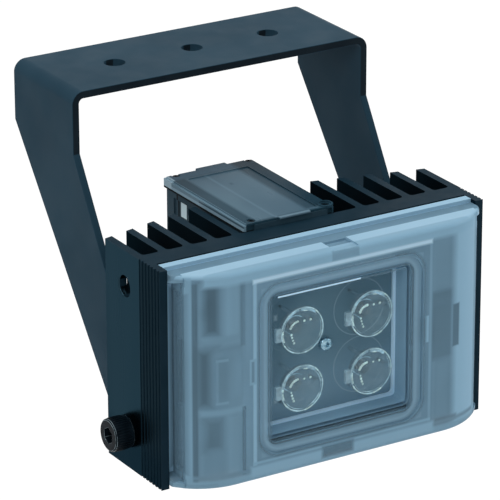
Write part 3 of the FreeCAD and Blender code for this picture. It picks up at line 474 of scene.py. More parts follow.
varnished = plain_finish(
    "varnished part", (0.03, 0.03, 0.035), (0.05, 0.05, 0.055), 150, (0.25, 0.35),
)
terminal_green = plain_finish(
    "terminal block", (0.03, 0.12, 0.07), (0.04, 0.15, 0.09), 150, (0.4, 0.5),
)

# The housing's left wall: a blank pale plate, two small pale patches in front of it, and the
# rear behind a dark line painted paler, as painted light. Y from and to, Z from and to, soft edge
# and tone.
HOUSING_WALL = (-25.0, -22.6)
HOUSING_MARKS = (
    ((63.5, 67.9), (78.9, 85.3), 0.3, (0.74, 0.93, 1.0)),
    ((60.9, 61.6), (79.8, 84.0), 0.5, (0.16, 0.26, 0.33)),
    ((60.6, 62.2), (79.0, 81.0), 0.6, (0.28, 0.4, 0.48)),
    # Painted light: the rear of the wall paler.
    ((70.1, 90), (40, 92), 0.4, (0.042, 0.082, 0.112)),
    ((69.0, 70.1), (40, 92), 0.4, (0.004, 0.010, 0.015)),
)


def housing_material():
    """Satin casting with the marks of its left wall, and painted light on its rear."""
    finish = Finish("satin casting", Specular_IOR_Level=0.03)
    colour = finish.patched(60, (0.022, 0.05, 0.072), (0.028, 0.06, 0.084))
    for y, z, soft, tone in HOUSING_MARKS:
        colour = finish.tinted(colour, finish.region(HOUSING_WALL, y, z, soft), tone)
    finish.shade(Base_Color=colour, Roughness=finish.uneven(90, 0.4, 0.5))
    finish.grain(3000, 0.012)
    return finish.material


cast_housing = housing_material()

# Frosted plastic looks paler where it is thick or backed by a rib, and darker over a hollow;
# some zones are painted light instead, such as the paler right end. Each row is a zone of
# the cover's front: X from and to, Z from and to, soft edge, opacity and how pale it is.
FRONT_DEPTH = (-14.5, 3.0)
FRONT_ZONES = (
    (-70, -64.6, 3, 88, 1.2, 0.80, 0.68),
    (-64.2, -61.4, 3, 85, 1.2, 0.66, 0.5),
    (-61.4, -59.8, 3, 85, 1.0, 0.62, 0.9),
    (-59.4, -54.2, 64.5, 86, 3, 0.66, 0.44),
    (-52.4, -45.5, 60, 86, 4, 0.72, 1.0),
    (-60.5, -43, 60.2, 63.2, 1.6, 0.62, 1.0),
    (-45.4, -43.2, 58, 85, 1.0, 0.46, 0.9),
    (-62, -57, 35, 58, 4, 0.64, 0.46),
    (-56, -50.4, 37, 54, 2.5, 0.6, 0.8),
    (-55.4, -54.4, 36, 53.4, 0.6, 0.60, 1.0),
    (-55.4, -50.5, 52.9, 54.0, 0.6, 0.66, 1.0),
    (-55.4, -50.5, 35.6, 36.6, 0.6, 0.66, 1.0),
    (-59.5, -52.5, 17, 30, 4, 0.66, 0.60),
    (-51.5, -45.5, 6, 31, 3, 0.66, 0.95),
    (-61, -44, 31.2, 33.6, 1.4, 0.66, 1.0),
    (-58, -52, 8, 17, 4, 0.52, 1.0),
    (-44.6, -43.0, 5, 33, 0.8, 0.40, 0.8),
    (-43, -40.4, 5, 87, 1.0, 0.55, 1.0),
    (41.2, 48.5, 62.5, 86, 3, 0.66, 0.84),
    (41.0, 42.4, 62, 87, 0.8, 0.62, 0.9),
    (40.5, 50.5, 33, 61, 2, 0.6, 0.66),
    # Painted light: the right end paler, as if lit through the plastic from the right.
    (51, 70, 1, 90, 4, 0.87, 1.07),
    (50.5, 53.8, 36.5, 54, 0.8, 0.6, 0.62),
    (42.6, 48.5, 8, 31, 3, 0.66, 0.84),
    (41.0, 42.4, 6, 32, 0.8, 0.62, 0.9),
    (42, 53, 5.5, 7.5, 1.5, 0.45, 0.8),
    (-70, 70, -1, 4.6, 1.2, 0.95, 0.78),
    (-66, 66, 5.2, 6.8, 1.2, 0.6, 0.84),
)
RIDGE_ZONES = (
    (-60, 62, 83.0, 89, 2.0, 0.9, 1.0),
    (-41, 42, 3, 7.2, 1.6, 0.8, 1.06),
    (-39.9, -38.3, 7.6, 82.6, 0.7, 0.86, 1.08),
    (39.3, 40.5, 7.6, 82.6, 0.7, 0.66, 1.0),
    (-40, 40.4, 81.6, 83.4, 1.0, 1.0, 1.4),
    (-40, 40.4, 7.8, 8.9, 0.7, 0.8, 1.0),
    (-41.4, -38.4, 41, 51.4, 0.5, 0.78, 1.0),
    (-40.6, -39.4, 42, 50.4, 0.4, 0.55, 0.9),
    (37.0, 39.2, 41, 52, 0.5, 0.84, 1.05),
    (-5, 7, 83.6, 88.4, 0.8, 0.66, 1.0),
    (-9, 5, 3.5, 8.2, 1.6, 0.5, 0.7),
)
# Painted highlight and painted shade in lines round the window: half width, foot, top, corner,
# line width, opacity, paleness.
WINDOW_LINES = (
    (37.2, 9.7, 79.7, 9.0, 1.3, 0.5, 0.7),
    (34.0, 11.5, 77.2, 7.0, 1.3, 0.62, 1.18),
    (32.3, 13.9, 75.0, 4.0, 0.9, 0.5, 0.45),
)
# The other zones, with Y between X and Z: round the window, the flange and flanks, the
# sleeve behind the window, and the window's own edges.
WINDOW_FRAME_Y = (-14.0, -11.3)
WINDOW_FRAME_ZONES = (((-36.3, 36.3), WINDOW_FRAME_Y, (10.0, 78.8), 0.4, 0.52, 1.08),)
# Painted light on the flanks: the top faces and the flange paler where light falls from above,
# and a painted shadow in the groove in front of the flange.
FLANK_ZONES = (
    ((-68, 68), (-12.4, -3.2), (86.4, 89), 0.8, 0.80, 1.08),
    ((-66, 66), (-9.0, -3.2), (87.6, 89), 1.5, 0.95, 1.3),
    ((-70, 70), (-3.4, 3.2), (-1, 90), 0.3, 0.5, 1.0),
    ((-70, 70), (1.6, 3.4), (-1, 88.3), 0.6, 0.8, 0.6),
    ((-70, 70), (3.0, 7.6), (-1, 90), 0.3, 0.97, 1.15),
    ((-70, 70), (-12, 7.6), (-1, 3.5), 0.3, 0.96, 0.7),
    ((-65.8, -63.4), (-12, -5.9), (4, 87), 0.6, 0.72, 1.0),
    ((-66.0, -62.6), (-6.2, 3.4), (8, 80), 2.5, 0.35, 0.8),
    ((63.4, 65.8), (-12, -5.9), (4, 87), 0.6, 0.72, 1.0),
    ((63.2, 66.6), (-6.2, 3.4), (8, 80), 2.5, 0.35, 0.8),
)
RIDGE_OUTER = ((-39.8, 39.8), (-10.6, -4.0), (6.2, 82.6), 0.2)
RIDGE_INNER = ((-37.9, 37.9), (-12, -3.0), (7.9, 80.9), 0.2)
RIDGE_OPACITY = 0.7
SLEEVE_ZONES = (
    ((-33.7, 33.7), (-8.9, 4.0), (13.4, 75.4), 0.2, 0.9, 1.0),
    ((-33.7, 33.7), (-1.2, 0.2), (13.4, 75.4), 0.2, 0.97, 1.85),
)
PANE = ((-31.9, 31.9), (-11.2, -8.8), (14.3, 74.5), 0.15)
PANE_ZONES = (
    # Painted highlight: the glint where the sleeve's top wall meets the pane, painted on the
    # pane.
    ((-27.5, 9.5), (-11.2, -10.2), (72.5, 73.2), 0.3, 0.95, 2.1),
    ((9.5, 30), (-11.2, -10.2), (72.4, 73.2), 0.3, 0.6, 0.5),
    ((-31.9, -30.2), (-11.2, -10.2), (14.3, 74.5), 0.8, 0.6, 0.45),
)
# Above this paleness the plastic turns from the pale blue to the whiter tone.
WHITER_FROM = 1.02
WHITER_RATE = 2.2
PALE = (0.254, 0.448, 0.598)
PALE_EDGE = (0.36, 0.58, 0.72)
WHITER = (0.33, 0.47, 0.57)
FRONT_Y = -13.1
FRONT_TURN = 46.99
FRONT_RADIUS = 28.4
COVER_WALL = 2.4
SKIN_SHARPNESS = 5000.0
INNER_OPACITY = 0.34


class Frosting(Finish):
    """Frosted plastic, cloudy over hollows, pale at its ribs and clear over the window, with
    painted light and shade on its flanks, right end, window lines and pane.
    """

    def __init__(self, name):
        super().__init__(name, Specular_IOR_Level=0.05)
        self.patches = self.uneven(30, 0.92, 1.02, (1, 1, 0.35))
        self.opaque = self.uneven(42, 0.46, 0.54, (1, 1, 0.5))
        self.tone = self.patches

    def lay(self, mask, solid, paleness):
        """Takes opacity and paleness to new values where the mask is."""
        self.opaque = self.level(mask, self.opaque, solid)
        self.tone = self.level(mask, self.tone, paleness)

    def lay_zones(self, zones):
        for x, y, z, soft, solid, paleness in zones:
            self.lay(self.region(x, y, z, soft), solid, paleness)

    def keep_outside(self):
        """The wall's inner half goes back to plain cloudy plastic."""
        depth = self.effect(
            SKIN_DEPTH,
            Centre=at(0, FRONT_Y + FRONT_RADIUS, 0),
            Flat_half=FRONT_TURN * MM,
            Radius=FRONT_RADIUS * MM,
        )
        rest = self.math("SUBTRACT", COVER_WALL * MM / 2, depth)
        outer = self.math("MULTIPLY_ADD", rest, SKIN_SHARPNESS, 0.5, clamp=True)
        self.opaque = self.level(outer, INNER_OPACITY, self.opaque)
        self.tone = self.level(outer, self.patches, self.tone)

    # Painted highlight and painted shade along the window frame's rounded edges.
    def trace_window(self):
        for half, foot, top, corner, line, solid, paleness in WINDOW_LINES:
            trace = self.effect(
                OUTLINE,
                Centre=at(0, 0, (foot + top) / 2),
                Half_size=(half * MM, 1.0, (top - foot) / 2 * MM),
                Corner=corner * MM,
                Line=line * MM,
            )
            front = self.region((-40, 40), WINDOW_FRAME_Y, (5, 84), 0.2)
            self.lay(self.math("MULTIPLY", trace, front), solid, paleness)


def cover_material(name, pale, window_opaque, least_opaque):
    """The zones from the front to the window, later ones over earlier ones."""
    plastic = Frosting(name)
    plastic.lay_zones(
        ((x0, x1), FRONT_DEPTH, (z0, z1), *rest)
        for x0, x1, z0, z1, *rest in FRONT_ZONES + RIDGE_ZONES
    )
    plastic.keep_outside()
    plastic.lay_zones(WINDOW_FRAME_ZONES)
    plastic.trace_window()
    plastic.lay_zones(FLANK_ZONES)
    ridge = plastic.math(
        "SUBTRACT", plastic.region(*RIDGE_OUTER), plastic.region(*RIDGE_INNER), clamp=True
    )
    plastic.opaque = plastic.level(ridge, plastic.opaque, RIDGE_OPACITY)
    plastic.lay_zones(SLEEVE_ZONES)
    pane = plastic.region(*PANE)
    plastic.lay(pane, window_opaque, 1.0)
    plastic.lay_zones(PANE_ZONES)
    above = plastic.math("SUBTRACT", plastic.tone, WHITER_FROM)
    whiter = plastic.math("MULTIPLY", above, WHITER_RATE, clamp=True)
    hue = plastic.blend(whiter, (*pale, 1), (*WHITER, 1))
    if least_opaque:
        plastic.opaque = plastic.math("MAXIMUM", plastic.opaque, least_opaque)
    plastic.shade(
        Base_Color=plastic.scaled(hue, plastic.tone),
        Alpha=plastic.opaque,
        Roughness=plastic.level(pane, 0.4, 0.12),
    )
    return plastic.material


frosted = cover_material("frosted plastic", PALE, 0.04, None)
frosted_edge = cover_material("frosted edge", PALE_EDGE, 0.3, 0.72)

# The lens's gate tab: how far left of its middle, and its half sizes.
LENS_TAB_X = 10.8
LENS_TAB_Y = -8
LENS_TAB = Vector((1.6, 3, 3.2))


def lens_material():
    """Clear moulded lens plastic, faintly cloudy, whiter at the gate tab on its left."""
    finish = Finish("clear lens", Roughness=0.08, Specular_IOR_Level=0.3)
    haze = finish.uneven(300, 0.08, 0.18)
    for led in LED_NODES:
        spot = middle(led)
        tab = finish.effect(
            BOX_MASK,
            Centre=(spot.x - LENS_TAB_X * MM, at(0, LENS_TAB_Y, 0).y, spot.z),
            Half_size=LENS_TAB * MM,
            Edge=0.4 * MM,
        )
        haze = finish.level(tab, haze, 0.6)
    colour = finish.scaled((0.36, 0.56, 0.66), finish.uneven(500, 0.8, 1.2))
    finish.shade(Base_Color=colour, Alpha=haze)
    return finish.material


def glint_material(name, tone, low, high, scale, shine):
    """The bright broken line that light makes along the edges of a clear part."""
    finish = Finish(name, Metallic=shine, Specular_IOR_Level=0.8)
    finish.shade(
        Base_Color=finish.patched(scale, [value * 0.6 for value in tone], tone),
        Roughness=finish.uneven(scale * 1.7, 0.15, 0.35),
        Alpha=finish.uneven(scale * 0.7, low, high),
    )
    return finish.material


clear_lens = lens_material()
lens_edge = glint_material("lens edge", (0.56, 0.88, 1.0), 0.7, 1.0, 260, 0.2)
lens_glint = glint_material("lens glint", (0.7, 1.0, 1.0), 0.95, 1.0, 330, 0.0)
lens_pale_glint = glint_material("lens pale glint", (0.42, 0.76, 0.95), 0.6, 0.95, 300, 0.0)

BOARD_Y = (-2, 3)
BOARD_PADS_X = (-22.6, -21.4)
BOARD_PADS_Z = (59.6, 25.4)


def board_material():
    """Solder resist with a pale printed circle round each lens, small solder pads and painted
    light towards its foot.
    """
    finish = Finish("led board", Specular_IOR_Level=0.05)
    colour = finish.patched(50, (0.082, 0.172, 0.232), (0.1, 0.195, 0.255))
    # Painted light: the board paler towards its foot.
    foot = finish.region((-40, 40), BOARD_Y, (-5, 34), 24)
    colour = finish.tinted(colour, foot, (0.18, 0.315, 0.42))
    for led in LED_NODES:
        ring = finish.effect(RING_MASK, Centre=middle(led), Radius=11.4 * MM, Line=0.3 * MM)
        share = 0.4 if "right" in led else 0.1
        colour = finish.tinted(colour, ring, (0.42, 0.58, 0.66), share)
    for z in BOARD_PADS_Z:
        pad = finish.region(BOARD_PADS_X, BOARD_Y, (z - 1, z + 1), 0.9)
        colour = finish.tinted(colour, pad, (0.45, 0.62, 0.7), 0.6)
    finish.shade(Base_Color=colour, Roughness=finish.uneven(90, 0.38, 0.5))
    return finish.material


led_board = board_material()

# Tones on the lid: X, Y and Z from and to, soft edge and tone. After a faint seam and a small
# dark patch comes a painted highlight along the front lip. The last rows run along its left and
# right edges: painted light on the left side and its rear corner, with a dark line in it, and
# the right part and right edge darker.
LID_LEFT = lid_low.x / MM
LID_RIGHT = lid_high.x / MM
LID_REAR = ((-30, 20), (73.0, 90), (90.4, 94), 2.5)
LID_PANEL = ((-18.6, 9.8), (19.8, 72.4), (90, 94), 1.6)
LID_TONES = (
    ((-10.1, -9.0), (19, 72), (90, 94), 0.9, (0.095, 0.17, 0.225)),
    ((-6.0, -4.8), (58.6, 60.4), (90, 94), 0.9, (0.04, 0.09, 0.13)),
    # Painted highlight along the front lip.
    ((-9, 5), (17.2, 19.4), (91.3, 94), 0.5, (0.12, 0.2, 0.26)),
    # Painted light on the left side.
    ((LID_LEFT - 1, LID_LEFT + 1.1), (17, 90), (88, 94), 0.3, (0.15, 0.25, 0.32)),
    ((LID_LEFT - 1, LID_LEFT + 0.25), (17, 90), (88, 90.0), 0.2, (0.26, 0.4, 0.5)),
    ((LID_LEFT - 1, LID_LEFT + 0.25), (17, 52), (90.1, 90.7), 0.2, (0.06, 0.11, 0.15)),
    ((LID_LEFT - 1, LID_LEFT + 1.6), (73, 90), (88, 94), 0.8, (0.4, 0.56, 0.66)),
    ((5.5, LID_RIGHT + 1), (22, 90), (91, 94), 3.0, (0.010, 0.032, 0.050)),
    ((LID_RIGHT - 0.4, LID_RIGHT + 1), (17, 90), (88, 94), 0.3, (0.02, 0.045, 0.065)),
)


def lid_material():
    """Smoky lid plastic: paler over the inset panel and at the rear, with one faint seam, a
    painted highlight along its front lip, painted light along its left edge, and darker over its
    right part.
    """
    finish = Finish("lid plastic", Specular_IOR_Level=0.04)
    patches = finish.uneven(45, stretch=(1, 0.5, 1))
    colour = finish.blend(patches, (0.015, 0.046, 0.070, 1), (0.024, 0.062, 0.090, 1))
    panel = finish.blend(patches, (0.066, 0.125, 0.172, 1), (0.085, 0.155, 0.205, 1))
    colour = finish.tinted(colour, finish.region(*LID_REAR), (0.042, 0.1, 0.15))
    colour = finish.blend(finish.region(*LID_PANEL), colour, panel)
    for x, y, z, soft, tone in LID_TONES:
        colour = finish.tinted(colour, finish.region(x, y, z, soft), tone)
    finish.shade(Base_Color=colour, Roughness=finish.uneven(70, 0.25, 0.36, (1, 0.4, 1)))
    return finish.material


lid_plastic = lid_material()


# Pieces

# Points this near are one point, faces this even are one face, and a face is a cut one
# where its normal lies this close to the axis.
SAME_POINT = 1e-6
SAME_FACE = math.radians(0.5)
CUT_FACE = 0.95
SMOOTH_UP_TO = math.radians(50)
BEVEL_FROM = 40


def placed(name, data):
    """A new object in the scene, at the origin."""
    piece = bpy.data.objects.new(name, data)
    scene.collection.objects.link(piece)
    return piece


def mesh_from(form, name):
    """The mesh of a bmesh, which is freed."""
    mesh = bpy.data.meshes.new(name)
    form.to_mesh(mesh)
    form.free()
    return mesh


def baked(piece):
    """The piece's mesh with its modifiers applied, and the modifiers gone."""
    depsgraph = bpy.context.evaluated_depsgraph_get()
    mesh = bpy.data.meshes.new_from_object(piece.evaluated_get(depsgraph))
    piece.modifiers.clear()
    old = piece.data
    piece.data = mesh
    bpy.data.meshes.remove(old)
    mesh.name = piece.name
    return mesh


def smoothed(piece):
    """Smooth shading that keeps broad faces flat and leaves hard edges hard."""
    piece.data.shade_smooth()
    piece.data.set_sharp_from_angle(angle=SMOOTH_UP_TO)
    even = piece.modifiers.new("even shading", "WEIGHTED_NORMAL")
    even.mode = "FACE_AREA"
    even.weight = 100
    even.keep_sharp = True
    baked(piece)


def merged_copy(node, name):
    """A copy of a CAD node's mesh with its triangles merged into whole faces."""
    form = bmesh.new()
    form.from_mesh(nodes[node].data)
    bmesh.ops.remove_doubles(form, verts=form.verts, dist=SAME_POINT)
    bmesh.ops.dissolve_limit(form, angle_limit=SAME_FACE, verts=form.verts, edges=form.edges)
    bmesh.ops.recalc_face_normals(form, faces=form.faces)
    mesh = mesh_from(form, name)
    for layer in [a.name for a in mesh.attributes if a.name in ("custom_normal", "UVMap")]:
        mesh.attributes.remove(mesh.attributes[layer])
    return placed(name, mesh)


def body_of(node):
    return nodes[node]["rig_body"]


def dressed(node, material, slot, edge, edge_material=None, bevel_from=BEVEL_FROM):
    """Replaces a CAD node by a copy with small rounded edges, in millimetres."""
    piece = merged_copy(node, node + "_finished")
    piece.data.materials.clear()
    piece.data.materials.append(material)
    if edge_material:
        piece.data.materials.append(edge_material)
    bevel = piece.modifiers.new("rounded edges", "BEVEL")
    bevel.width = edge * MM
    bevel.segments = 2
    bevel.limit_method = "ANGLE"
    bevel.angle_limit = math.radians(bevel_from)
    bevel.material = 1 if edge_material else -1
    bevel.use_clamp_overlap = True
    baked(piece)
    smoothed(piece)
    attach(piece, body_of(node))
    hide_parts(node)
    return piece


def shade_faces_along(piece, material, axis):
    """Gives the faces that look along an axis, such as sheared edges, a darker finish as painted
    shade.
    """
    piece.data.materials.append(material)
    index = len(piece.data.materials) - 1
    for face in piece.data.polygons:
        if abs(face.normal.dot(axis)) > CUT_FACE:
            face.material_index = index


def paint(node, material):
    """Gives a CAD node that keeps its own mesh its finish."""
    node_object = nodes[node]
    node_object.data.materials.clear()
    node_object.data.materials.append(material)


LENS_NODES = [led.replace("led_", "lens_") for led in LED_NODES]

bracket = dressed("mounting_bracket", powder_coat, "powder_coat", 0.35)
# Painted shade on the bracket's front and back edge faces.
shade_faces_along(bracket, coat_edge_shade, Vector((0, 1, 0)))
sink = dressed("heat_sink", anodised, "anodised", 0.2, anodised_edge_highlight, bevel_from=60)
# Painted shade on the heat sink's top, bottom, front and back faces.
shade_faces_along(sink, saw_cut_shade, Vector((0, 0, 1)))
shade_faces_along(sink, saw_cut_shade, Vector((0, 1, 0)))
for row in (
    ("pivot_screw_left", black_steel, "black_steel", 0.25, steel_edge_glint),
    ("pivot_screw_right", black_steel, "black_steel", 0.25, steel_edge_glint),
    ("driver_housing", cast_housing, "cast_housing", 0.25),
    ("driver_lid", lid_plastic, "lid_plastic", 0.15),
    ("lid_screws", black_steel, "black_steel", 0.1),
    ("front_cover", frosted, "frosted_cover", 0.3, frosted_edge),
    ("led_board", led_board, "board", 0.1),
    ("board_screw", zinc_steel, "steel", 0.1),
    *[(lens, clear_lens, "clear_lens", 0.1) for lens in LENS_NODES],
    ("cover_screws", black_steel, "black_steel", 0.15),
    ("gland_cap", nylon, "nylon", 0.25),
    ("gland_body", nylon, "nylon", 0.15),
):
    dressed(*row)

for material, painted in (
    (nylon, ("pivot_washer_left", "pivot_washer_right", "gland_nut")),
    (emitter, LED_NODES),
    (seal_rubber, ("cover_gasket", "lid_gasket", "gland_washer", "gland_seal")),
    (bare_aluminium, ("heat_spreader",)),
    (zinc_steel, ("spreader_screws", "housing_screws")),
    (thermal_grey, ("thermal_pad",)),
    (laminate, ("driver_board",)),
    (varnished, ("choke", "capacitors", "transformer")),
    (terminal_green, ("terminal_block",)),
):
    for node in painted:
        paint(node, material)

# The tab's sides and how far it reaches in from the lid's rear edge.
TAB_X = (-8.95, 4.55)
TAB_Z = (90.6, 92.0)
TAB_REACH = 2.6


def finger_tab():
    """The finger tab at the middle of the lid's rear edge, flush with the lid's top."""
    rear = (lid_high.y - LAMP_CORNER.y) / MM
    low = at(TAB_X[0], rear - TAB_REACH, TAB_Z[0])
    high = at(TAB_X[1], rear, TAB_Z[1])
    form = bmesh.new()
    bmesh.ops.create_cube(form, size=1)
    bmesh.ops.scale(form, vec=high - low, verts=form.verts)
    bmesh.ops.translate(form, vec=(low + high) / 2, verts=form.verts)
    tab = placed("lid_finger_tab", mesh_from(form, "lid_finger_tab"))
    tab.data.materials.append(lid_plastic)
    rounding = tab.modifiers.new("rounded edges", "BEVEL")
    rounding.width = 0.3 * MM
    rounding.segments = 3
    baked(tab)
    smoothed(tab)
    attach(tab, body_of("driver_lid"))


finger_tab()


# Small repeated details

RIM_STEPS = 96
WIRE_SIDES = 8
DRIFT_SCALE = 240.0
DRIFT_LOW = 0.38
DRIFT_HIGH = 0.6


def geometry_tree(name, sockets):
    """A tree that repeats something on the points of the mesh that it is given."""
    tree = bpy.data.node_groups.new(name, "GeometryNodeTree")
    tree.interface.new_socket("Geometry", in_out="OUTPUT", socket_type=GEOMETRY)
    add_inputs(tree, [("Seats", GEOMETRY, None), *sockets, ("Material", MATERIAL, None)])
    sheet = Sheet(tree)
    entry = sheet.add("NodeGroupInput")
    leave = sheet.add("NodeGroupOutput")
    return tree, sheet, entry.outputs, leave.inputs["Geometry"]


def real_copies(sheet, instances):
    """Instances turned into geometry of their own."""
    node = sheet.add("GeometryNodeRealizeInstances")
    return sheet.fill(node, Geometry=instances).outputs["Geometry"]


def on_every_seat(sheet, seats, curve):
    """One copy of a curve on each seat."""
    spread = sheet.fill(sheet.add("GeometryNodeInstanceOnPoints"), Points=seats, Instance=curve)
    return real_copies(sheet, spread.outputs["Instances"])


def close_tree(sheet, geometry, material, result):
    """Ends a tree with real copies and their material."""
    finish = sheet.fill(
        sheet.add("GeometryNodeSetMaterial"),
        Geometry=real_copies(sheet, geometry),
        Material=material,
    )
    sheet.link(finish.outputs["Geometry"], result)


def grain_tree():
    """Small rounded grains at even steps along an arc, each a little larger or smaller."""
    tree, sheet, given, result = geometry_tree(
        "grains along an arc",
        [
            CENTRE,
            ("Radius", FLOAT, 0.006),
            ("Start", FLOAT, 0.0),
            ("Sweep", FLOAT, 1.0),
            ("Count", INTEGER, 12),
            ("Size", VECTOR, (0.001, 0.001, 0.001)),
            ("Uneven", FLOAT, 0.0),
            ("Seed", INTEGER, 3),
        ],
    )
    arc = sheet.fill(
        sheet.add("GeometryNodeCurveArc", mode="RADIUS"),
        Resolution=given["Count"],
        Radius=given["Radius"],
        Start_Angle=given["Start"],
        Sweep_Angle=given["Sweep"],
    )
    shift = sheet.fill(
        sheet.add("GeometryNodeTransform"),
        Geometry=arc.outputs["Curve"],
        Translation=given["Centre"],
    )
    arcs = on_every_seat(sheet, given["Seats"], shift.outputs["Geometry"])
    grain = sheet.fill(sheet.add("GeometryNodeMeshUVSphere"), Segments=6, Rings=4, Radius=0.5)
    shape = sheet.fill(
        sheet.add("GeometryNodeTransform"), Geometry=grain.outputs["Mesh"], Scale=given["Size"]
    )
    along = sheet.add("GeometryNodeInputTangent")
    turn = sheet.add("FunctionNodeAlignEulerToVector", axis="Y")
    sheet.fill(turn, Vector=along.outputs["Tangent"])
    chance = sheet.add("FunctionNodeRandomValue", data_type="FLOAT")
    sheet.fill(chance, Seed=given["Seed"])
    drop = sheet.math("MULTIPLY", chance.outputs[1], given["Uneven"])
    spread = sheet.fill(
        sheet.add("GeometryNodeInstanceOnPoints"),
        Points=arcs,
        Instance=shape.outputs["Geometry"],
        Rotation=turn.outputs["Rotation"],
        Scale=sheet.math("SUBTRACT", 1.0, drop),
    )
    close_tree(sheet, spread.outputs["Instances"], given["Material"], result)
    return tree


def rim_tree():
    """A thin round wire along a circle, whose thickness drifts."""
    tree, sheet, given, result = geometry_tree(
        "wire round a circle",
        [
            ("Radius", FLOAT, 0.009),
            ("Wire", FLOAT, 0.0003),
            ("Least", FLOAT, 0.4),
            ("Seed", INTEGER, 3),
        ],
    )
    circle = sheet.fill(
        sheet.add("GeometryNodeCurvePrimitiveCircle", mode="RADIUS"),
        Resolution=RIM_STEPS,
        Radius=given["Radius"],
    )
    circles = on_every_seat(sheet, given["Seats"], circle.outputs["Curve"])
    noise = sheet.fill(
        sheet.add("ShaderNodeTexNoise", noise_dimensions="4D"),
        W=given["Seed"],
        Scale=DRIFT_SCALE,
        Detail=1.0,
    )
    drift = sheet.fill(
        sheet.add("ShaderNodeMapRange"),
        Value=noise.outputs["Fac"],
        From_Min=DRIFT_LOW,
        From_Max=DRIFT_HIGH,
        To_Min=given["Least"],
    )
    profile = sheet.fill(
        sheet.add("GeometryNodeCurvePrimitiveCircle", mode="RADIUS"),
        Resolution=WIRE_SIDES,
        Radius=given["Wire"],
    )
    wire = sheet.fill(
        sheet.add("GeometryNodeCurveToMesh"),
        Curve=circles,
        Profile_Curve=profile.outputs["Curve"],
        Scale=drift.outputs["Result"],
    )
    close_tree(sheet, wire.outputs["Mesh"], given["Material"], result)
    return tree


GRAINS = grain_tree()
RIM = rim_tree()


def grown(tree, seats, upright, **values):
    """What a tree makes on its seats, as a plain mesh turned into the lamp's frame."""
    points = bpy.data.meshes.new(tree.name)
    points.from_pydata(seats, [], [])
    piece = placed(tree.name, points)
    grow = piece.modifiers.new("repeat", "NODES")
    grow.node_group = tree
    for socket in tree.interface.items_tree:
        if socket.in_out == "INPUT" and socket.name in values:
            grow[socket.identifier] = values[socket.name]
    mesh = baked(piece)
    bpy.data.objects.remove(piece)
    mesh.transform(Matrix.Translation(LAMP_CORNER) @ upright.to_4x4())
    return mesh


def one_piece(name, meshes, body):
    """Joins plain meshes into one piece that rides on a body."""
    form = bmesh.new()
    finishes = []
    for mesh in meshes:
        finish = mesh.materials[mesh.polygons[0].material_index]
        if finish not in finishes:
            finishes.append(finish)
        number = finishes.index(finish)
        mesh.polygons.foreach_set("material_index", [number] * len(mesh.polygons))
        form.from_mesh(mesh)
        bpy.data.meshes.remove(mesh)
    whole = mesh_from(form, name)
    for finish in finishes:
        whole.materials.append(finish)
    whole.shade_smooth()
    piece = placed(name, whole)
    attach(piece, body)


# The pivot screws' knurled heads: one ring of upright grains at each end of the pivot line,
# which is given by its Y and Z.
ALONG_PIVOT = Matrix(((0, 0, 1), (1, 0, 0), (0, 1, 0)))
PIVOT = Vector((26.5, 14.6)) * MM
KNURL_X = 76.6 * MM
KNURL_RADIUS = 6.45 * MM
KNURL_SIZE = (0.7 * MM, 0.9 * MM, 6.6 * MM)
KNURL_COUNT = 40
knurls = grown(
    GRAINS,
    [(*PIVOT, -KNURL_X), (*PIVOT, KNURL_X)],
    ALONG_PIVOT,
    Radius=KNURL_RADIUS,
    Sweep=2 * math.pi * (1 - 1 / KNURL_COUNT),
    Count=KNURL_COUNT,
    Size=KNURL_SIZE,
    Material=black_steel,
)
one_piece("pivot_knurls", [knurls], body_of("pivot_screw_left"))

# Painted highlights for the light caught by the moulded lenses, as bright grains on their faces,
# in millimetres from each lens's centre as seen from the front: the arc's centre, radius, start
# and sweep in degrees, then how many grains, their width and length, how uneven they are, the
# finish and the depth of the face.
FACING_OUT = Matrix(((1, 0, 0), (0, 0, -1), (0, 1, 0)))
RIM_FACE = 8.95
DISH_FACE = 8.5
GRAIN_DEPTH = 0.3
LENS_GLINTS = (
    (-1.6, 0.2, 3.65, 93, 64, 6, 1.4, 1.5, 0.25, lens_glint, DISH_FACE),
    (2.6, -20.2, 23.8, 86.7, 6.8, 2, 1.2, 1.3, 0.2, lens_glint, DISH_FACE),
    (14.3, 2.8, 19.3, 191.5, 11.3, 4, 1.25, 1.3, 0.35, lens_glint, DISH_FACE),
    (11.9, 24.1, 30.0, 229, 7.2, 7, 0.45, 0.9, 0.3, lens_pale_glint, DISH_FACE),
    (-3.1, 1.4, 5.05, 55, 128, 26, 0.5, 0.9, 0.3, lens_pale_glint, DISH_FACE),
    (0, 0, 8.5, 50, 42, 18, 1.4, 1.0, 0.3, lens_pale_glint, RIM_FACE),
    (0, 0, 8.1, 76, 8, 3, 0.8, 1.2, 0.2, lens_glint, RIM_FACE),
    (0, 0, 9.2, 42, 7, 3, 0.65, 1.1, 0.2, lens_glint, RIM_FACE),
    (0, 0, 9.1, 16, 12, 4, 0.5, 0.8, 0.4, lens_glint, RIM_FACE),
    (0.2, 0, 8.9, 174, 26, 7, 0.9, 1.0, 0.5, lens_glint, RIM_FACE),
    (0, 0, 9.2, 212, 16, 5, 0.75, 1.2, 0.3, lens_glint, RIM_FACE),
    (0, 0, 9.2, 279, 19, 6, 0.85, 1.2, 0.2, lens_glint, RIM_FACE),
    (0, 0, 9.1, 306, 30, 10, 0.6, 1.1, 0.4, lens_pale_glint, RIM_FACE),
    (0, 0, 8.7, 102, 44, 16, 1.0, 1.1, 0.3, lens_pale_glint, RIM_FACE),
)
# The wires of painted highlight along a lens's edges: radius, wire and least thickness, and the
# face's depth.
LENS_RIMS = ((9.2, 0.36, 0.5, 8.8), (8.35, 0.16, 0.05, 8.8))


def lens_seats(depth):
    """The lenses' centres, seen from the front, at a depth of their faces."""
    spots = [middle(led) - LAMP_CORNER for led in LED_NODES]
    return [(spot.x, spot.z, depth * MM) for spot in spots]


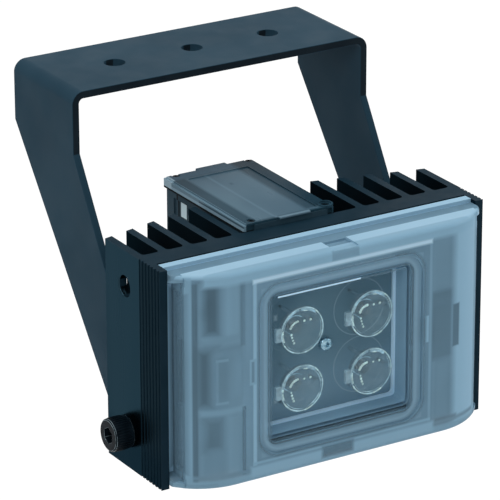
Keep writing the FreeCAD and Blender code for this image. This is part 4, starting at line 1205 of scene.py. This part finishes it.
marks = []
for number, row in enumerate(LENS_GLINTS):
    x, z, radius, start, sweep, count, width, length, uneven, finish, depth = row
    marks.append(
        grown(
            GRAINS,
            lens_seats(depth),
            FACING_OUT,
            Centre=(x * MM, z * MM, 0),
            Radius=radius * MM,
            Start=math.radians(start),
            Sweep=math.radians(sweep),
            Count=count,
            Size=(width * MM, length * MM, GRAIN_DEPTH * MM),
            Uneven=uneven,
            Seed=number,
            Material=finish,
        )
    )
for radius, wire, least, depth in LENS_RIMS:
    marks.append(
        grown(
            RIM,
            lens_seats(depth),
            FACING_OUT,
            Radius=radius * MM,
            Wire=wire * MM,
            Least=least,
            Material=lens_edge,
        )
    )
one_piece("lens_highlights", marks, body_of(LED_NODES[0]))


# Stage, light and camera

SKY_LIGHT = 0.36
FLOOR_DROP = 0.1
FLOOR_HALF = 20.0
FLOOR_WHITE = 0.86
FLOOR_GLOW = 1.09


def seen_directly(sheet):
    """One for what the camera, gloss and clear parts see, and nothing for soft light."""
    path = sheet.add("ShaderNodeLightPath").outputs
    seen = sheet.math("MAXIMUM", path["Is Camera Ray"], path["Is Glossy Ray"])
    return sheet.math("MAXIMUM", seen, path["Is Transmission Ray"])


def build_world():
    """White all round where it is seen, and a weaker soft light."""
    world = bpy.data.worlds.new("studio")
    world.use_nodes = True
    world.node_tree.nodes.clear()
    sheet = Sheet(world.node_tree)
    seen = seen_directly(sheet)
    background = sheet.fill(
        sheet.add("ShaderNodeBackground"),
        Color=(1, 1, 1, 1),
        Strength=sheet.math("MULTIPLY_ADD", seen, 1.0 - SKY_LIGHT, SKY_LIGHT),
    )
    sheet.fill(sheet.add("ShaderNodeOutputWorld"), Surface=background.outputs[0])
    scene.world = world


def build_floor():
    """A pale floor a little below the hanging lamp, which keeps its shadow."""
    level = cad_box[0].z - FLOOR_DROP
    half = FLOOR_HALF
    corners = ((-half, -half), (half, -half), (half, half), (-half, half))
    mesh = bpy.data.meshes.new("floor")
    mesh.from_pydata([(x, y, level) for x, y in corners], [], [(0, 1, 2, 3)])
    floor = placed("floor", mesh)
    material = bpy.data.materials.new("pale floor")
    material.use_nodes = True
    material.node_tree.nodes.clear()
    sheet = Sheet(material.node_tree)
    matt = sheet.fill(sheet.add("ShaderNodeBsdfDiffuse"), Color=(0.9, 0.9, 0.9, 1))
    glow = sheet.fill(sheet.add("ShaderNodeEmission"), Strength=FLOOR_GLOW)
    mix = sheet.add("ShaderNodeMixShader")
    sheet.link(sheet.math("MULTIPLY", seen_directly(sheet), FLOOR_WHITE), mix.inputs["Fac"])
    sheet.link(matt.outputs[0], mix.inputs[1])
    sheet.link(glow.outputs[0], mix.inputs[2])
    sheet.fill(sheet.add("ShaderNodeOutputMaterial"), Surface=mix.outputs[0])
    mesh.materials.append(material)


def soft_lamp(name, place, target, size, power):
    light = bpy.data.lights.new(name, "AREA")
    light.shape = "SQUARE"
    light.size = size
    light.energy = power
    lamp = placed(name, light)
    lamp.location = place
    lamp.rotation_mode = "QUATERNION"
    lamp.rotation_quaternion = (target - Vector(place)).to_track_quat("-Z", "Y")


# The camera's turn, tip and lean in degrees, its place in metres and its lens.
CAMERA_TURN = 31.36
CAMERA_TIP = 21.45
CAMERA_LEAN = -0.14
CAMERA_PLACE = Vector((-0.7166, -1.2195, 0.4698))
CAMERA_LENS = 271.8


def build_camera():
    turn = math.radians(CAMERA_TURN)
    tip = math.radians(CAMERA_TIP)
    lean = math.radians(CAMERA_LEAN)
    aim = Vector((math.sin(turn) * math.cos(tip), math.cos(turn) * math.cos(tip), -math.sin(tip)))
    right = Vector((math.cos(turn), -math.sin(turn), 0))
    up = right.cross(aim)
    across = right * math.cos(lean) + up * math.sin(lean)
    upward = up * math.cos(lean) - right * math.sin(lean)
    camera = bpy.data.cameras.new("camera")
    camera.lens = CAMERA_LENS
    camera.sensor_width = 36
    camera.clip_start = 0.05
    camera.clip_end = 60
    seat = Matrix((across, upward, -aim)).transposed().to_4x4()
    seat.translation = CAMERA_PLACE
    scene.camera = placed("camera", camera)
    scene.camera.matrix_world = seat


build_world()
build_floor()
centre = (cad_box[0] + cad_box[1]) / 2
soft_lamp("above", (-0.2, 0.1, 1.5), centre, 1.0, 12)
soft_lamp("left front", (-1.1, -0.9, 0.9), centre, 0.9, 7)
soft_lamp("right", (1.5, -0.35, 0.5), centre, 0.8, 11)
build_camera()
scene.view_settings.view_transform = "Standard"
